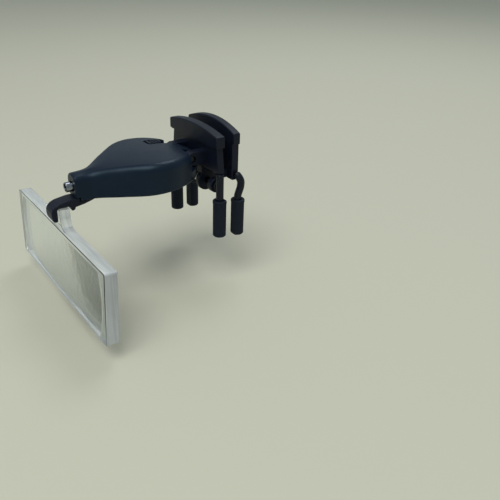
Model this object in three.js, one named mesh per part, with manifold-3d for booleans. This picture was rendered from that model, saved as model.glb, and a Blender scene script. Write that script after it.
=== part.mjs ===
// Clip-on flip magnifier for spectacles, with a small lamp. Millimetres, +Z up, +X to the wearer's left,
// -Y forward. The origin is in the grip: the point between the four rubber sleeves that hold
// a spectacle lens. A spring clip carries a lamp housing on a flip hinge, and the housing carries the lens.
import * as THREE from 'three';
import { mergeVertices } from 'three/addons/utils/BufferGeometryUtils.js';
import Module from 'manifold-3d';

const wasm = await Module();
wasm.setup();

// ---- Driving dimensions ----
const GAP = 0.3;                  // clearance kept between neighbouring pieces
const ROUND = 20;                 // sides of an ordinary cylinder
const FINE = 32;                  // sides of a large cylinder

// Grip: two prongs in front of the spectacle lens and two behind it
const FRONT_PRONG = { x: 15.2, y: -3.5 };
const REAR_PRONG = { x: 15.9, y: 4.2 };
const PRONG_RADIUS = 1.4;
const PIN_PLAY = 0.25;            // radial clearance round a pin
const SPIGOT_RADIUS = 0.65;       // thinner prong end that is set in the plate
const FRONT_SPIGOT = { x: 14.5, y: -3.25, length: 2.2 };   // off the rod's axis, in the plate's middle
const REAR_SPIGOT_LENGTH = 3.0;
const SLEEVE_RADIUS = 2.5;
const FRONT_SLEEVE = { low: -6.8, high: 7.8, flat: 1.8 };    // flat: its distance from the prong's axis
const REAR_SLEEVE = { low: -7.5, high: 6.8, flat: 1.8 };
const SLEEVE_FLOOR = 1.1;

// Jaw plates, which are also the finger tabs
const FRONT_PLATE = { front: -4.6, back: -1.9 };
const FRONT_LIP = -5.5;           // front of the thicker rim round the top of the front tab
const REAR_PLATE = { front: 2.3, back: 5.3 };
const PLATE_BEVEL = 0.45;
const TAB_EAR_BOTTOM = 27.5;
const FRONT_TAB = {
  ear: 15.8, side: 14.6, earTop: 31.4, crown: 33.3, bottom: 18.0, foot: 15.65, footTop: 19.0,
};
const REAR_TAB = {
  ear: 15.1, side: 14.4, earTop: 31.4, crown: 34.4, bottom: 14.0, foot: 14.4, footTop: 17.8,
};
const TAB_HOLE_Z = 29.3;
const TAB_HOLE_RADIUS = 1.0;

// Clip pivot
const PIVOT = { y: -2.1, z: 12 };
const PIVOT_PIN_RADIUS = 1.1;
const PIVOT_PIN_HALF = 11.9;
const FRONT_EAR = { inner: 3.0, outer: 5.0, radius: 4.0 };
const REAR_EAR = { inner: 9.0, outer: 11.5, radius: 2.9 };
const REAR_ARM = { low: 14.3, high: 17.4 };    // the rear ears hang from arms between these heights
const SPRING = { wire: 0.35, coil: 1.8, half: 2.2, turns: 4, knee: 16.8, frontLeg: 21.5, rearLeg: 23.5 };

// Flip hinge between the clip and the lamp housing
const FLIP = { y: -10.2, z: 22.3 };
const FLIP_LUG = { inner: 4.6, outer: 8.0, radius: 2.6 };
const FLIP_PIN_RADIUS = 1.0;
const FLIP_PIN_HALF = 7.7;

// Lamp housing: y, half width, bottom z and top z along its length, nose first
const HOUSING_STATIONS = [
  [-52.0, 3.3, 14.0, 22.8],
  [-46.4, 3.9, 14.2, 23.2],
  [-38.4, 9.4, 14.8, 24.9],
  [-30.4, 14.9, 15.5, 26.1],
  [-24.0, 16.1, 15.9, 26.4],
  [-15.4, 13.3, 16.0, 26.0],
  [-9.4, 8.7, 15.9, 24.6],
  [-6.3, 4.6, 15.9, 23.2],
];
const NOSE_Y = -52.0;
const TAIL_Y = -6.3;
const SHELL_WALL = 1.2;
const SHELL_TOP_EDGE = 3.0;       // radius of the edge round the top face
const SHELL_LOW_EDGE = 0.5;
const SHELL_CROWN = 0.25;
const CAVITY_FRONT = -50.8;
const CAVITY_BACK = -14.5;
const BASE_THICKNESS = 1.9;
const BASE_FRONT = -41.4;

// Battery compartment
const CELL = { y: -28.0, radius: 8.0, thickness: 1.9, bottom: 18.6 };
const DOOR = { half: 9.0, front: -37.4, back: -15.6, corner: 5.0, thickness: 0.7 };
const DOOR_SCREW_Y = -17.3;
const CONTACT_THICKNESS = 0.25;
const NEGATIVE_CONTACT = { leafFrom: -4.0, riserX: 8.9, half: 1.5 };    // strip under the cells, turned up

// Case screws, and the posts of the shell that they bite into
const FRONT_SCREW = [0, -44.6];
const REAR_SCREWS = [[9.3, -16.2], [-9.3, -16.2]];
const SCREW = { head: 1.4, headHeight: 0.8, shank: 0.6, length: 4.2 };
const POST_RADIUS = 1.6;

// Lamp, circuit and switch
const LAMP = { z: 18.7, radius: 0.95, bezelOuter: 1.65, bezelInner: 1.2, front: -54.3, back: -49.6 };
const BOARD = { half: 9.6, front: -19.6, back: -14.9, bottom: 21.4, thickness: 0.8 };
const SWITCH = { x: -5.9, y: -17.3, halfX: 1.3, halfY: 2.2, height: 1.3 };
const SLOT = { halfX: 2.7, halfY: 4.2 };
const KNOB = { halfX: 1.8, halfY: 2.4, travel: 2.0, proud: 0.45 };

// Lens carrier: an arm under the lamp that ends in a hook
const CARRIER_HALF = 2.7;
const TONGUE_HALF = 1.9;
const CHIN_TOP = 15.5;            // the nose stops here, clear of the arm below it

// Lens
const LENS = { half: 37.5, height: 25.5, thickness: 4.4, tilt: 3.5, topY: -57.0, topZ: 6.0 };
const LENS_TAB = { half: 2.9, flare: 8.0, rise: 6.3, thickness: 3.6, back: 0.35 };
const LENS_ZONE = { radius: 35.0, margin: 1.3, depth: 1.2 };

// ---- Materials ----
function material(color, roughness, metalness = 0) {
  return new THREE.MeshStandardMaterial({ color, roughness, metalness });
}

const BLACK_PLASTIC = 0x1b1e22;
const MATERIALS = {
  shell: () => material(0x2a3036, 0.42),
  plastic: () => material(BLACK_PLASTIC, 0.5),
  rubber: () => material(0x17181a, 0.8),
  blackSteel: () => material(0x141517, 0.4, 0.6),
  steel: () => material(0xa9adb2, 0.35, 1),
  chrome: () => material(0xd5d8db, 0.12, 1),
  clear: () => {
    const acrylic = material(0xeaf4f8, 0.05);
    acrylic.transparent = true;
    acrylic.opacity = 0.3;
    return acrylic;
  },
  lamp: () => material(0xf2efda, 0.15),
  board: () => material(0x1f5a3a, 0.5),
  red: () => material(0xa01c1c, 0.55),
  brass: () => material(0xc8a24a, 0.35, 1),
};

// ---- Solids: three.js shapes turned into manifold solids ----
function toSolid(geometry) {
  const bare = geometry.index ? geometry.toNonIndexed() : geometry.clone();
  bare.deleteAttribute('normal');
  bare.deleteAttribute('uv');
  const merged = mergeVertices(bare, 1e-4);
  const triVerts = Uint32Array.from(merged.index.array);
  const vertProperties = Float32Array.from(merged.attributes.position.array);
  return new wasm.Manifold(new wasm.Mesh({ numProp: 3, vertProperties, triVerts }));
}

function toGeometry(solid) {
  const mesh = solid.getMesh();
  const geometry = new THREE.BufferGeometry();
  geometry.setAttribute('position', new THREE.BufferAttribute(mesh.vertProperties, 3));
  geometry.setIndex(new THREE.BufferAttribute(mesh.triVerts, 1));
  geometry.computeVertexNormals();
  return geometry;
}

function placed(geometry, x, y, z) {
  geometry.translate(x, y, z);
  return toSolid(geometry);
}

// A box between two corners
function block([x0, y0, z0], [x1, y1, z1]) {
  const box = new THREE.BoxGeometry(x1 - x0, y1 - y0, z1 - z0);
  return placed(box, (x0 + x1) / 2, (y0 + y1) / 2, (z0 + z1) / 2);
}

// A cylinder along X between two x positions
function barX(x0, x1, y, z, radius, sides = ROUND) {
  const bar = new THREE.CylinderGeometry(radius, radius, x1 - x0, sides);
  bar.rotateZ(-Math.PI / 2);
  return placed(bar, (x0 + x1) / 2, y, z);
}

function barY(x, y0, y1, z, radius, sides = ROUND) {
  const bar = new THREE.CylinderGeometry(radius, radius, y1 - y0, sides);
  return placed(bar, x, (y0 + y1) / 2, z);
}

function barZ(x, y, z0, z1, radius, sides = ROUND) {
  const bar = new THREE.CylinderGeometry(radius, radius, z1 - z0, sides);
  bar.rotateX(Math.PI / 2);
  return placed(bar, x, y, (z0 + z1) / 2);
}

// A turned piece along Z: profile is a list of [radius, z] from the axis and back to it
function turnedZ(x, y, profile, sides = ROUND) {
  const points = profile.map(([radius, z]) => new THREE.Vector2(radius, z));
  const lathe = new THREE.LatheGeometry(points, sides);
  lathe.rotateX(Math.PI / 2);
  return placed(lathe, x, y, 0);
}

// A flat plate standing in the XZ plane between two y positions
function plateXZ(outline, y0, y1, bevel = 0) {
  const depth = y1 - y0 - 2 * bevel;
  const options = { depth, bevelEnabled: bevel > 0, bevelThickness: bevel, bevelSize: bevel,
    bevelOffset: -bevel, bevelSegments: 1, curveSegments: 9 };
  const plate = new THREE.ExtrudeGeometry(outline, options);
  plate.translate(0, 0, -depth / 2);
  plate.rotateX(Math.PI / 2);
  return placed(plate, 0, (y0 + y1) / 2, 0);
}

// A plate lying in the XY plane between two heights
function plateXY(outline, z0, z1) {
  const options = { depth: z1 - z0, bevelEnabled: false, curveSegments: 6 };
  return placed(new THREE.ExtrudeGeometry(outline, options), 0, 0, z0);
}

// An outline in the YZ plane, extruded along X from -half to +half
function profileYZ(points, half) {
  const outline = new THREE.Shape(points.map(([y, z]) => new THREE.Vector2(y, z)));
  const profile = new THREE.ExtrudeGeometry(outline, { depth: 2 * half, bevelEnabled: false });
  profile.translate(0, 0, -half);
  profile.applyMatrix4(new THREE.Matrix4().set(0, 0, 1, 0, 1, 0, 0, 0, 0, 1, 0, 0, 0, 0, 0, 1));
  return toSolid(profile);
}

// A round wire along a curve, its ends flat
function wire(curve, radius, steps, sides = 8) {
  const section = new THREE.Shape();
  section.absarc(0, 0, radius, 0, Math.PI * 2);
  const options = { steps, extrudePath: curve, curveSegments: sides, bevelEnabled: false };
  return toSolid(new THREE.ExtrudeGeometry(section, options));
}

function roundedRect(x0, y0, x1, y1, radius) {
  const shape = new THREE.Shape();
  shape.moveTo(x0 + radius, y0);
  shape.lineTo(x1 - radius, y0);
  shape.absarc(x1 - radius, y0 + radius, radius, -Math.PI / 2, 0);
  shape.lineTo(x1, y1 - radius);
  shape.absarc(x1 - radius, y1 - radius, radius, 0, Math.PI / 2);
  shape.lineTo(x0 + radius, y1);
  shape.absarc(x0 + radius, y1 - radius, radius, Math.PI / 2, Math.PI);
  shape.lineTo(x0, y0 + radius);
  shape.absarc(x0 + radius, y0 + radius, radius, Math.PI, Math.PI * 1.5);
  return shape;
}

// ---- Housing loft ----
const housingCurve = new THREE.CubicInterpolant(
  HOUSING_STATIONS.map(([y]) => y),
  HOUSING_STATIONS.flatMap(([, half, bottom, top]) => [half, bottom, top]),
  3,
);

function housingAt(y) {
  const [half, bottom, top] = housingCurve.evaluate(y);
  return { half, bottom, top };
}

// One closed section in the XZ plane: flat bottom, rounded edges, slightly crowned top
function housingSection({ half, bottom, top }, topEdge, lowEdge) {
  const edge = Math.min(topEdge, half * 0.7);
  const points = [];
  const arc = (x, z, radius, from, to, steps) => {
    for (let i = 0; i <= steps; i += 1) {
      const angle = THREE.MathUtils.degToRad(from + (to - from) * i / steps);
      points.push([x + radius * Math.cos(angle), z + radius * Math.sin(angle)]);
    }
  };
  arc(half - lowEdge, bottom + lowEdge, lowEdge, -90, 0, 1);
  arc(half - edge, top - edge, edge, 0, 90, 4);
  for (const part of [0.4, -0.4]) {
    points.push([part * (half - edge), top + SHELL_CROWN * (1 - part * part)]);
  }
  arc(-half + edge, top - edge, edge, 90, 180, 4);
  arc(-half + lowEdge, bottom + lowEdge, lowEdge, 180, 270, 1);
  return points;
}

function loftAlongY(front, back, steps, sectionAt) {
  const positions = [];
  const faces = [];
  let count = 0;
  for (let i = 0; i <= steps; i += 1) {
    const y = front + (back - front) * i / steps;
    const section = sectionAt(y);
    count = section.length;
    section.forEach(([x, z]) => positions.push(x, y, z));
  }
  for (let i = 0; i < steps; i += 1) {
    for (let j = 0; j < count; j += 1) {
      const a = i * count + j;
      const b = i * count + (j + 1) % count;
      faces.push(a, a + count, b, b, a + count, b + count);
    }
  }
  for (let j = 1; j < count - 1; j += 1) {
    const last = steps * count;
    faces.push(0, j, j + 1);
    faces.push(last, last + j + 1, last + j);
  }
  const geometry = new THREE.BufferGeometry();
  geometry.setAttribute('position', new THREE.Float32BufferAttribute(positions, 3));
  geometry.setIndex(faces);
  return toSolid(geometry);
}

// The housing's outer form, drawn in by a wall's thickness, between two heights above its bottom
function housingForm(front, back, steps, inset, low = 0, high = null) {
  return loftAlongY(front, back, steps, (y) => {
    const at = housingAt(y);
    const top = high === null ? at.top - inset : at.bottom + high;
    const edge = high === null ? Math.max(SHELL_TOP_EDGE - inset, 0.4) : 0.1;
    const section = { half: at.half - inset, bottom: at.bottom + low, top };
    return housingSection(section, edge, SHELL_LOW_EDGE / 5);
  });
}

// ---- Clip: front jaw ----
function tabOutline({ ear, side, earTop, crown, bottom, foot, footTop }) {
  const crownRise = crown - earTop;
  const crownRadius = (ear ** 2 + crownRise ** 2) / (2 * crownRise);
  const crownAngle = Math.asin(ear / crownRadius);
  const shape = new THREE.Shape();
  shape.moveTo(-foot, bottom);
  shape.lineTo(foot, bottom);
  shape.lineTo(foot, footTop);
  shape.lineTo(side, TAB_EAR_BOTTOM - 1.2);
  shape.quadraticCurveTo(side, TAB_EAR_BOTTOM, ear, TAB_EAR_BOTTOM);
  shape.lineTo(ear, earTop);
  shape.absarc(0, crown - crownRadius, crownRadius, Math.PI / 2 - crownAngle, Math.PI / 2 + crownAngle);
  shape.lineTo(-ear, TAB_EAR_BOTTOM);
  shape.quadraticCurveTo(-side, TAB_EAR_BOTTOM, -side, TAB_EAR_BOTTOM - 1.2);
  shape.lineTo(-foot, footTop);
  return shape;
}

function pivotBore() {
  return barX(-PIVOT_PIN_HALF, PIVOT_PIN_HALF, PIVOT.y, PIVOT.z, PIVOT_PIN_RADIUS + PIN_PLAY);
}

function flipBore() {
  const half = FLIP_LUG.outer + 1;
  return barX(-half, half, FLIP.y, FLIP.z, FLIP_PIN_RADIUS + PIN_PLAY);
}

// A pair of x positions on one side of the middle, in rising order
function spanX(side, inner, outer) {
  return side > 0 ? [inner, outer] : [-outer, -inner];
}

function frontEar(side) {
  const [x0, x1] = spanX(side, FRONT_EAR.inner, FRONT_EAR.outer);
  const web = block([x0, FRONT_PLATE.front, PIVOT.z], [x1, FRONT_PLATE.back, FRONT_TAB.bottom + 1]);
  return barX(x0, x1, PIVOT.y, PIVOT.z, FRONT_EAR.radius).add(web);
}

// The thicker top of the front tab, from its ears up
function frontLip() {
  const { front, back } = FRONT_PLATE;
  const tab = plateXZ(tabOutline(FRONT_TAB), FRONT_LIP, (front + back) / 2, PLATE_BEVEL);
  return tab.intersect(block([-20, FRONT_LIP, TAB_EAR_BOTTOM], [20, back, 40]));
}

function frontJawPlate() {
  const { front, back } = FRONT_PLATE;
  let plate = plateXZ(tabOutline(FRONT_TAB), front, back, PLATE_BEVEL).add(frontLip());
  const skirt = block([-FRONT_EAR.outer, front + 0.4, PIVOT.z + SPRING.coil + 0.9],
    [FRONT_EAR.outer, back - 0.8, FRONT_TAB.bottom + 1]);
  plate = plate.add(skirt);
  for (const side of [-1, 1]) {
    plate = plate.add(frontEar(side));
    plate = plate.add(flipLug(side));
    plate = plate.subtract(barZ(side * FRONT_SPIGOT.x, FRONT_SPIGOT.y, FRONT_TAB.bottom - 1,
      FRONT_TAB.bottom + FRONT_SPIGOT.length + GAP, SPIGOT_RADIUS + PIN_PLAY, 16));
  }
  return plate.subtract(pivotBore()).subtract(flipBore());
}

function flipLug(side) {
  const [x0, x1] = spanX(side, FLIP_LUG.inner, FLIP_LUG.outer);
  const arm = block([x0, FLIP.y, FLIP.z - FLIP_LUG.radius],
    [x1, FRONT_PLATE.back - 1, FLIP.z + FLIP_LUG.radius]);
  return barX(x0, x1, FLIP.y, FLIP.z, FLIP_LUG.radius).add(arm);
}

function frontProng(side) {
  const end = FRONT_SLEEVE.low + SLEEVE_FLOOR + GAP;
  const shoulder = FRONT_TAB.bottom - GAP;
  const rod = turnedZ(side * FRONT_PRONG.x, FRONT_PRONG.y, [
    [0, end],
    [PRONG_RADIUS - 0.3, end],
    [PRONG_RADIUS, end + 0.3],
    [PRONG_RADIUS, shoulder],
    [0, shoulder],
  ], 16);
  const tip = FRONT_TAB.bottom + FRONT_SPIGOT.length;
  return rod.add(barZ(side * FRONT_SPIGOT.x, FRONT_SPIGOT.y, shoulder - 1, tip, SPIGOT_RADIUS, 16));
}

// A blind rubber tube with a gripping flat that faces the other jaw
function gripSleeve(x, y, { low, high, flat }) {
  const bore = PRONG_RADIUS + 0.2;
  const tube = turnedZ(x, y, [
    [0, low],
    [SLEEVE_RADIUS - 0.5, low],
    [SLEEVE_RADIUS, low + 0.5],
    [SLEEVE_RADIUS, high - 0.3],
    [SLEEVE_RADIUS - 0.3, high],
    [bore, high],
    [bore, low + SLEEVE_FLOOR],
    [0, low + SLEEVE_FLOOR],
  ]);
  const inward = -Math.sign(y);
  const flatY = y + inward * flat;
  const offcut = block([x - 3, Math.min(flatY, flatY + inward * 2), low - 1],
    [x + 3, Math.max(flatY, flatY + inward * 2), high + 1]);
  return tube.subtract(offcut);
}

function clipPin() {
  const headX = PIVOT_PIN_HALF;
  const pin = barX(-headX, headX, PIVOT.y, PIVOT.z, PIVOT_PIN_RADIUS);
  const headInner = REAR_EAR.outer + GAP;
  return pin
    .add(barX(headInner, headInner + 0.7, PIVOT.y, PIVOT.z, 1.9))
    .add(barX(-headInner - 0.7, -headInner, PIVOT.y, PIVOT.z, 1.9));
}

// Torsion spring round the pin. Its legs lie up the two plates and push the finger tabs apart.
function springPath() {
  const { coil, half, turns, wire: radius, knee, frontLeg, rearLeg } = SPRING;
  const frontY = FRONT_PLATE.back + GAP + radius;
  const rearY = REAR_PLATE.front - GAP - radius;
  const points = [new THREE.Vector3(-half, frontY, frontLeg), new THREE.Vector3(-half, frontY, knee)];
  const steps = turns * 14 + 7;
  for (let i = 0; i <= steps; i += 1) {
    const angle = Math.PI * (2 * turns + 1) * i / steps;
    const y = PIVOT.y - coil * Math.cos(angle);
    const z = PIVOT.z - coil * Math.sin(angle);
    points.push(new THREE.Vector3(half * (2 * i / steps - 1), y, z));
  }
  points.push(new THREE.Vector3(half, rearY, knee), new THREE.Vector3(half, rearY, rearLeg));
  const path = new THREE.CurvePath();
  for (let i = 1; i < points.length; i += 1) {
    path.add(new THREE.LineCurve3(points[i - 1], points[i]));
  }
  return path;
}

function clipSpring() {
  return wire(springPath(), SPRING.wire, 96, 3);
}

// ---- Clip: rear jaw ----
const REAR_PRONG_Z = REAR_TAB.bottom + 1.9;

// An ear on the clip pin, hung from an arm that reaches forward from the rear plate
function rearEar(side) {
  const [x0, x1] = spanX(side, REAR_EAR.inner, REAR_EAR.outer);
  const arm = block([x0, PIVOT.y - 0.6, REAR_ARM.low], [x1, REAR_PLATE.front + 1, REAR_ARM.high]);
  const neck = block([x0, PIVOT.y - 0.6, PIVOT.z], [x1, PIVOT.y + 2.2, REAR_ARM.high]);
  return barX(x0, x1, PIVOT.y, PIVOT.z, REAR_EAR.radius).add(arm).add(neck);
}

function rearJawPlate() {
  const { front, back } = REAR_PLATE;
  let plate = plateXZ(tabOutline(REAR_TAB), front, back, PLATE_BEVEL);
  for (const side of [-1, 1]) {
    const [x0, x1] = spanX(side, REAR_TAB.side - REAR_SPIGOT_LENGTH - GAP, REAR_TAB.side + 1);
    plate = plate.add(rearEar(side));
    plate = plate.subtract(barX(x0, x1, REAR_PRONG.y, REAR_PRONG_Z, SPIGOT_RADIUS + PIN_PLAY, 16));
  }
  const tabHole = barY(0, front - 1, back + 1, TAB_HOLE_Z, TAB_HOLE_RADIUS);
  return plate.subtract(pivotBore()).subtract(tabHole);
}

// The rear prong comes sideways out of the plate, bends down and back, and runs into its sleeve
function rearProng(side) {
  const { x, y } = REAR_PRONG;
  const rodStart = REAR_TAB.side + 2 * GAP;
  const route = new THREE.CatmullRomCurve3([
    [rodStart, y, REAR_PRONG_Z],
    [rodStart + 0.3, y, REAR_PRONG_Z],
    [x, y + 0.4, REAR_PRONG_Z - 0.8],
    [x + 0.4, y + 0.9, REAR_PRONG_Z - 2.2],
    [x + 0.4, y + 0.8, REAR_PRONG_Z - 4.4],
    [x, y, REAR_SLEEVE.high + 1.2],
    [x, y, REAR_SLEEVE.high - 2.4],
  ].map(([px, py, pz]) => new THREE.Vector3(side * px, py, pz)));
  const rod = wire(route, PRONG_RADIUS, 18, 8);
  const end = REAR_SLEEVE.low + SLEEVE_FLOOR + GAP;
  const shank = barZ(side * x, y, end, REAR_SLEEVE.high - 2.2, PRONG_RADIUS, 16);
  const [x0, x1] = spanX(side, REAR_TAB.side - REAR_SPIGOT_LENGTH, rodStart + 0.3);
  const spigot = barX(x0, x1, y, REAR_PRONG_Z, SPIGOT_RADIUS, 16);
  return rod.add(shank).add(spigot);
}

// ---- Lamp housing ----
function screwPost(x, y) {
  const { bottom, top } = housingAt(y);
  return barZ(x, y, bottom + BASE_THICKNESS + GAP, top - 0.8, POST_RADIUS, 16);
}

function pilotHole(x, y) {
  const { bottom } = housingAt(y);
  return barZ(x, y, bottom - 1, bottom + SCREW.headHeight + SCREW.length + GAP, SCREW.shank + PIN_PLAY, 12);
}

function housingShell() {
  const outerSection = (y) => housingSection(housingAt(y), SHELL_TOP_EDGE, SHELL_LOW_EDGE);
  const outer = loftAlongY(NOSE_Y, TAIL_Y, 28, outerSection);
  const hollow = housingForm(CAVITY_FRONT, CAVITY_BACK, 16, SHELL_WALL, -2);
  let shell = outer.subtract(hollow);
  const chin = block([-5, NOSE_Y - 1, 10], [5, CAVITY_FRONT + 0.4, CHIN_TOP]);
  shell = shell.subtract(chin);
  for (const side of [-1, 1]) {
    const x0 = side > 0 ? FLIP_LUG.inner - GAP : -20;
    const x1 = side > 0 ? 20 : -FLIP_LUG.inner + GAP;
    const notchFront = FLIP.y - FLIP_LUG.radius - GAP;
    shell = shell.subtract(block([x0, notchFront, FLIP.z - FLIP_LUG.radius - GAP], [x1, 0, 40]));
  }
  for (const [x, y] of [FRONT_SCREW, ...REAR_SCREWS]) {
    shell = shell.add(screwPost(x, y)).subtract(pilotHole(x, y));
  }
  const lampHole = barY(0, NOSE_Y - 1, CAVITY_FRONT + 1, LAMP.z, LAMP.bezelOuter + PIN_PLAY);
  const slot = block([SWITCH.x - SLOT.halfX, SWITCH.y - SLOT.halfY, 23],
    [SWITCH.x + SLOT.halfX, SWITCH.y + SLOT.halfY, 30]);
  return shell.subtract(lampHole).subtract(slot).subtract(flipBore());
}

function baseSlab(inset) {
  return housingForm(BASE_FRONT, CAVITY_BACK - GAP, 12, inset, 0, BASE_THICKNESS);
}

function doorOutline(inset) {
  const half = DOOR.half - inset;
  return roundedRect(-half, DOOR.front + inset, half, DOOR.back - inset, DOOR.corner - inset);
}

// The height of the ledge that the battery door closes against
const DOOR_SEAT_Z = housingAt(DOOR.back).bottom + DOOR.thickness + 0.1;

function housingBase() {
  let base = baseSlab(SHELL_WALL + GAP);
  base = base.subtract(plateXY(doorOutline(0), 10, DOOR_SEAT_Z));
  base = base.subtract(barZ(0, CELL.y, 10, 20, CELL.radius + 0.4, FINE));
  base = base.add(barZ(0, DOOR_SCREW_Y, DOOR_SEAT_Z, 20.6, POST_RADIUS, 16));
  base = base.subtract(barZ(0, DOOR_SCREW_Y, 10, 20.2, SCREW.shank + PIN_PLAY, 12));
  for (const [x, y] of REAR_SCREWS) {
    base = base.subtract(pilotHole(x, y));
    const seat = housingAt(y).bottom + SCREW.headHeight + 0.1;
    base = base.subtract(barZ(x, y, 10, seat, SCREW.head + PIN_PLAY));
  }
  return base;
}

function batteryDoor() {
  const slab = baseSlab(SHELL_WALL + GAP);
  const panel = slab.intersect(plateXY(doorOutline(GAP), 10, DOOR_SEAT_Z - GAP / 2));
  const low = housingAt(DOOR_SCREW_Y).bottom;
  return panel
    .subtract(barZ(0, DOOR_SCREW_Y, 10, 20, SCREW.shank + PIN_PLAY, 12))
    .subtract(barZ(0, DOOR_SCREW_Y, 10, low + 0.45, SCREW.head + PIN_PLAY));
}

// Cross-head screw whose head is at the bottom and whose shank points up
function screw(x, y, headBottom, headHeight, length) {
  const body = turnedZ(x, y, [
    [0, headBottom],
    [SCREW.head - 0.2, headBottom],
    [SCREW.head, headBottom + 0.2],
    [SCREW.head, headBottom + headHeight],
    [SCREW.shank, headBottom + headHeight],
    [SCREW.shank, headBottom + headHeight + length - 0.5],
    [0, headBottom + headHeight + length],
  ], 16);
  const slotDepth = headHeight * 0.6;
  const across = block([x - 0.8, y - 0.15, headBottom - 1], [x + 0.8, y + 0.15, headBottom + slotDepth]);
  const along = block([x - 0.15, y - 0.8, headBottom - 1], [x + 0.15, y + 0.8, headBottom + slotDepth]);
  return body.subtract(across).subtract(along);
}

function caseScrew([x, y]) {
  return screw(x, y, housingAt(y).bottom + 0.05, SCREW.headHeight - 0.25, SCREW.length - 0.2);
}

function doorScrew() {
  return screw(0, DOOR_SCREW_Y, housingAt(DOOR_SCREW_Y).bottom - 0.25, 0.4, 2.9);
}

// ---- Lens carrier ----
const HOOK_OUTLINE = [
  [-50.6, 15.2], [-53.7, 15.1], [-57.6, 14.5], [-59.1, 13.9], [-60.1, 13.0], [-60.6, 11.9], [-60.6, 10.2],
  [-60.3, 8.8], [-59.6, 8.3], [-58.7, 8.6], [-58.6, 12.9], [-53.9, 12.9], [-53.8, 11.1], [-52.6, 11.4],
  [-52.3, 12.4], [-49.3, 12.8], [-47.4, 13.3], [-46.0, 13.7], [-46.0, 13.85], [-50.6, 13.7],
];

function lensCarrier() {
  const hook = profileYZ(HOOK_OUTLINE, CARRIER_HALF);
  const bottom = housingAt(FRONT_SCREW[1]).bottom;
  const tongueBack = BASE_FRONT - GAP;
  const tongueTop = bottom + BASE_THICKNESS;
  const tongue = profileYZ([
    [-50.8, 13.0], [-46.0, 13.6], [tongueBack, bottom + 0.35], [tongueBack, tongueTop],
    [-48.0, tongueTop], [-50.8, 15.1],
  ], TONGUE_HALF);
  const [x, y] = FRONT_SCREW;
  return hook.add(tongue)
    .subtract(barZ(x, y, 10, 18, SCREW.shank + PIN_PLAY, 12))
    .subtract(barZ(x, y, 10, bottom + SCREW.headHeight, SCREW.head + 0.1));
}

// ---- Lamp ----
function ledBezel() {
  const { bezelOuter, bezelInner, front, back } = LAMP;
  const ring = new THREE.LatheGeometry([
    [bezelInner, back], [bezelInner, front + 0.3], [bezelInner + 0.05, front], [bezelOuter - 0.3, front],
    [bezelOuter, front + 0.3], [bezelOuter, back], [bezelInner, back],
  ].map(([radius, y]) => new THREE.Vector2(radius, y)), ROUND);
  return placed(ring, 0, 0, LAMP.z);
}

function led() {
  const { radius, front, back } = LAMP;
  const domeY = front + 0.5 + radius;
  const profile = [new THREE.Vector2(0, domeY - radius)];
  for (const degrees of [22.5, 45, 67.5, 90]) {
    const angle = THREE.MathUtils.degToRad(degrees);
    profile.push(new THREE.Vector2(radius * Math.sin(angle), domeY - radius * Math.cos(angle)));
  }
  profile.push(new THREE.Vector2(radius, back + 0.4), new THREE.Vector2(0, back + 0.4));
  let body = placed(new THREE.LatheGeometry(profile, ROUND), 0, 0, LAMP.z);
  for (const side of [-1, 1]) {
    const x = side * 0.5;
    body = body.add(block([x - 0.2, back, LAMP.z - 0.2], [x + 0.2, back + 3.2, LAMP.z + 0.2]));
  }
  return body;
}

// ---- Battery, contacts, circuit and switch ----
function coinCell(level) {
  const low = CELL.bottom + level * (CELL.thickness + GAP);
  return turnedZ(0, CELL.y, [
    [0, low],
    [CELL.radius - 0.8, low],
    [CELL.radius - 0.6, low + 0.25],
    [CELL.radius, low + 0.4],
    [CELL.radius, low + CELL.thickness - 0.2],
    [CELL.radius - 0.2, low + CELL.thickness],
    [0, low + CELL.thickness],
  ], FINE);
}

// A bent strip of sheet metal: its centre line is in the YZ plane
function strip(line, x0, x1) {
  const half = CONTACT_THICKNESS / 2;
  const points = line.map(([y, z]) => new THREE.Vector2(y, z));
  const offset = (sign) => points.map((point, i) => {
    const before = points[Math.max(i - 1, 0)];
    const after = points[Math.min(i + 1, points.length - 1)];
    const along = after.clone().sub(before).normalize();
    return [point.x - sign * along.y * half, point.y + sign * along.x * half];
  });
  const outline = [...offset(-1), ...offset(1).reverse()];
  const solid = profileYZ(outline, (x1 - x0) / 2);
  return solid.translate((x0 + x1) / 2, 0, 0);
}

function positiveContact() {
  const cellTop = CELL.bottom + 2 * CELL.thickness + GAP;
  const boardTop = BOARD.bottom + BOARD.thickness;
  const line = [
    [CELL.y - 3, cellTop + 0.45],
    [CELL.y + 5, cellTop + 0.45],
    [BOARD.front - 0.1, cellTop + 0.4],
    [BOARD.front + 1.6, boardTop + 0.42],
  ];
  return strip(line, 1.5, 5.5);
}

function negativeContact() {
  const { leafFrom, riserX, half } = NEGATIVE_CONTACT;
  const low = CELL.bottom - 0.3 - CONTACT_THICKNESS / 2;
  const leaf = block([leafFrom, CELL.y - half, low], [riserX, CELL.y + half, low + CONTACT_THICKNESS]);
  const riser = block([riserX - CONTACT_THICKNESS, CELL.y - half, low],
    [riserX, CELL.y + half, BOARD.bottom + 0.4]);
  return leaf.add(riser);
}

function circuitBoard() {
  const outline = roundedRect(-BOARD.half + 2.2, BOARD.front, BOARD.half - 2.2, BOARD.back, 0.6);
  return plateXY(outline, BOARD.bottom, BOARD.bottom + BOARD.thickness);
}

function switchBody() {
  const low = BOARD.bottom + BOARD.thickness + GAP;
  return block([SWITCH.x - SWITCH.halfX, SWITCH.y - SWITCH.halfY, low],
    [SWITCH.x + SWITCH.halfX, SWITCH.y + SWITCH.halfY, low + SWITCH.height]);
}

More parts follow.
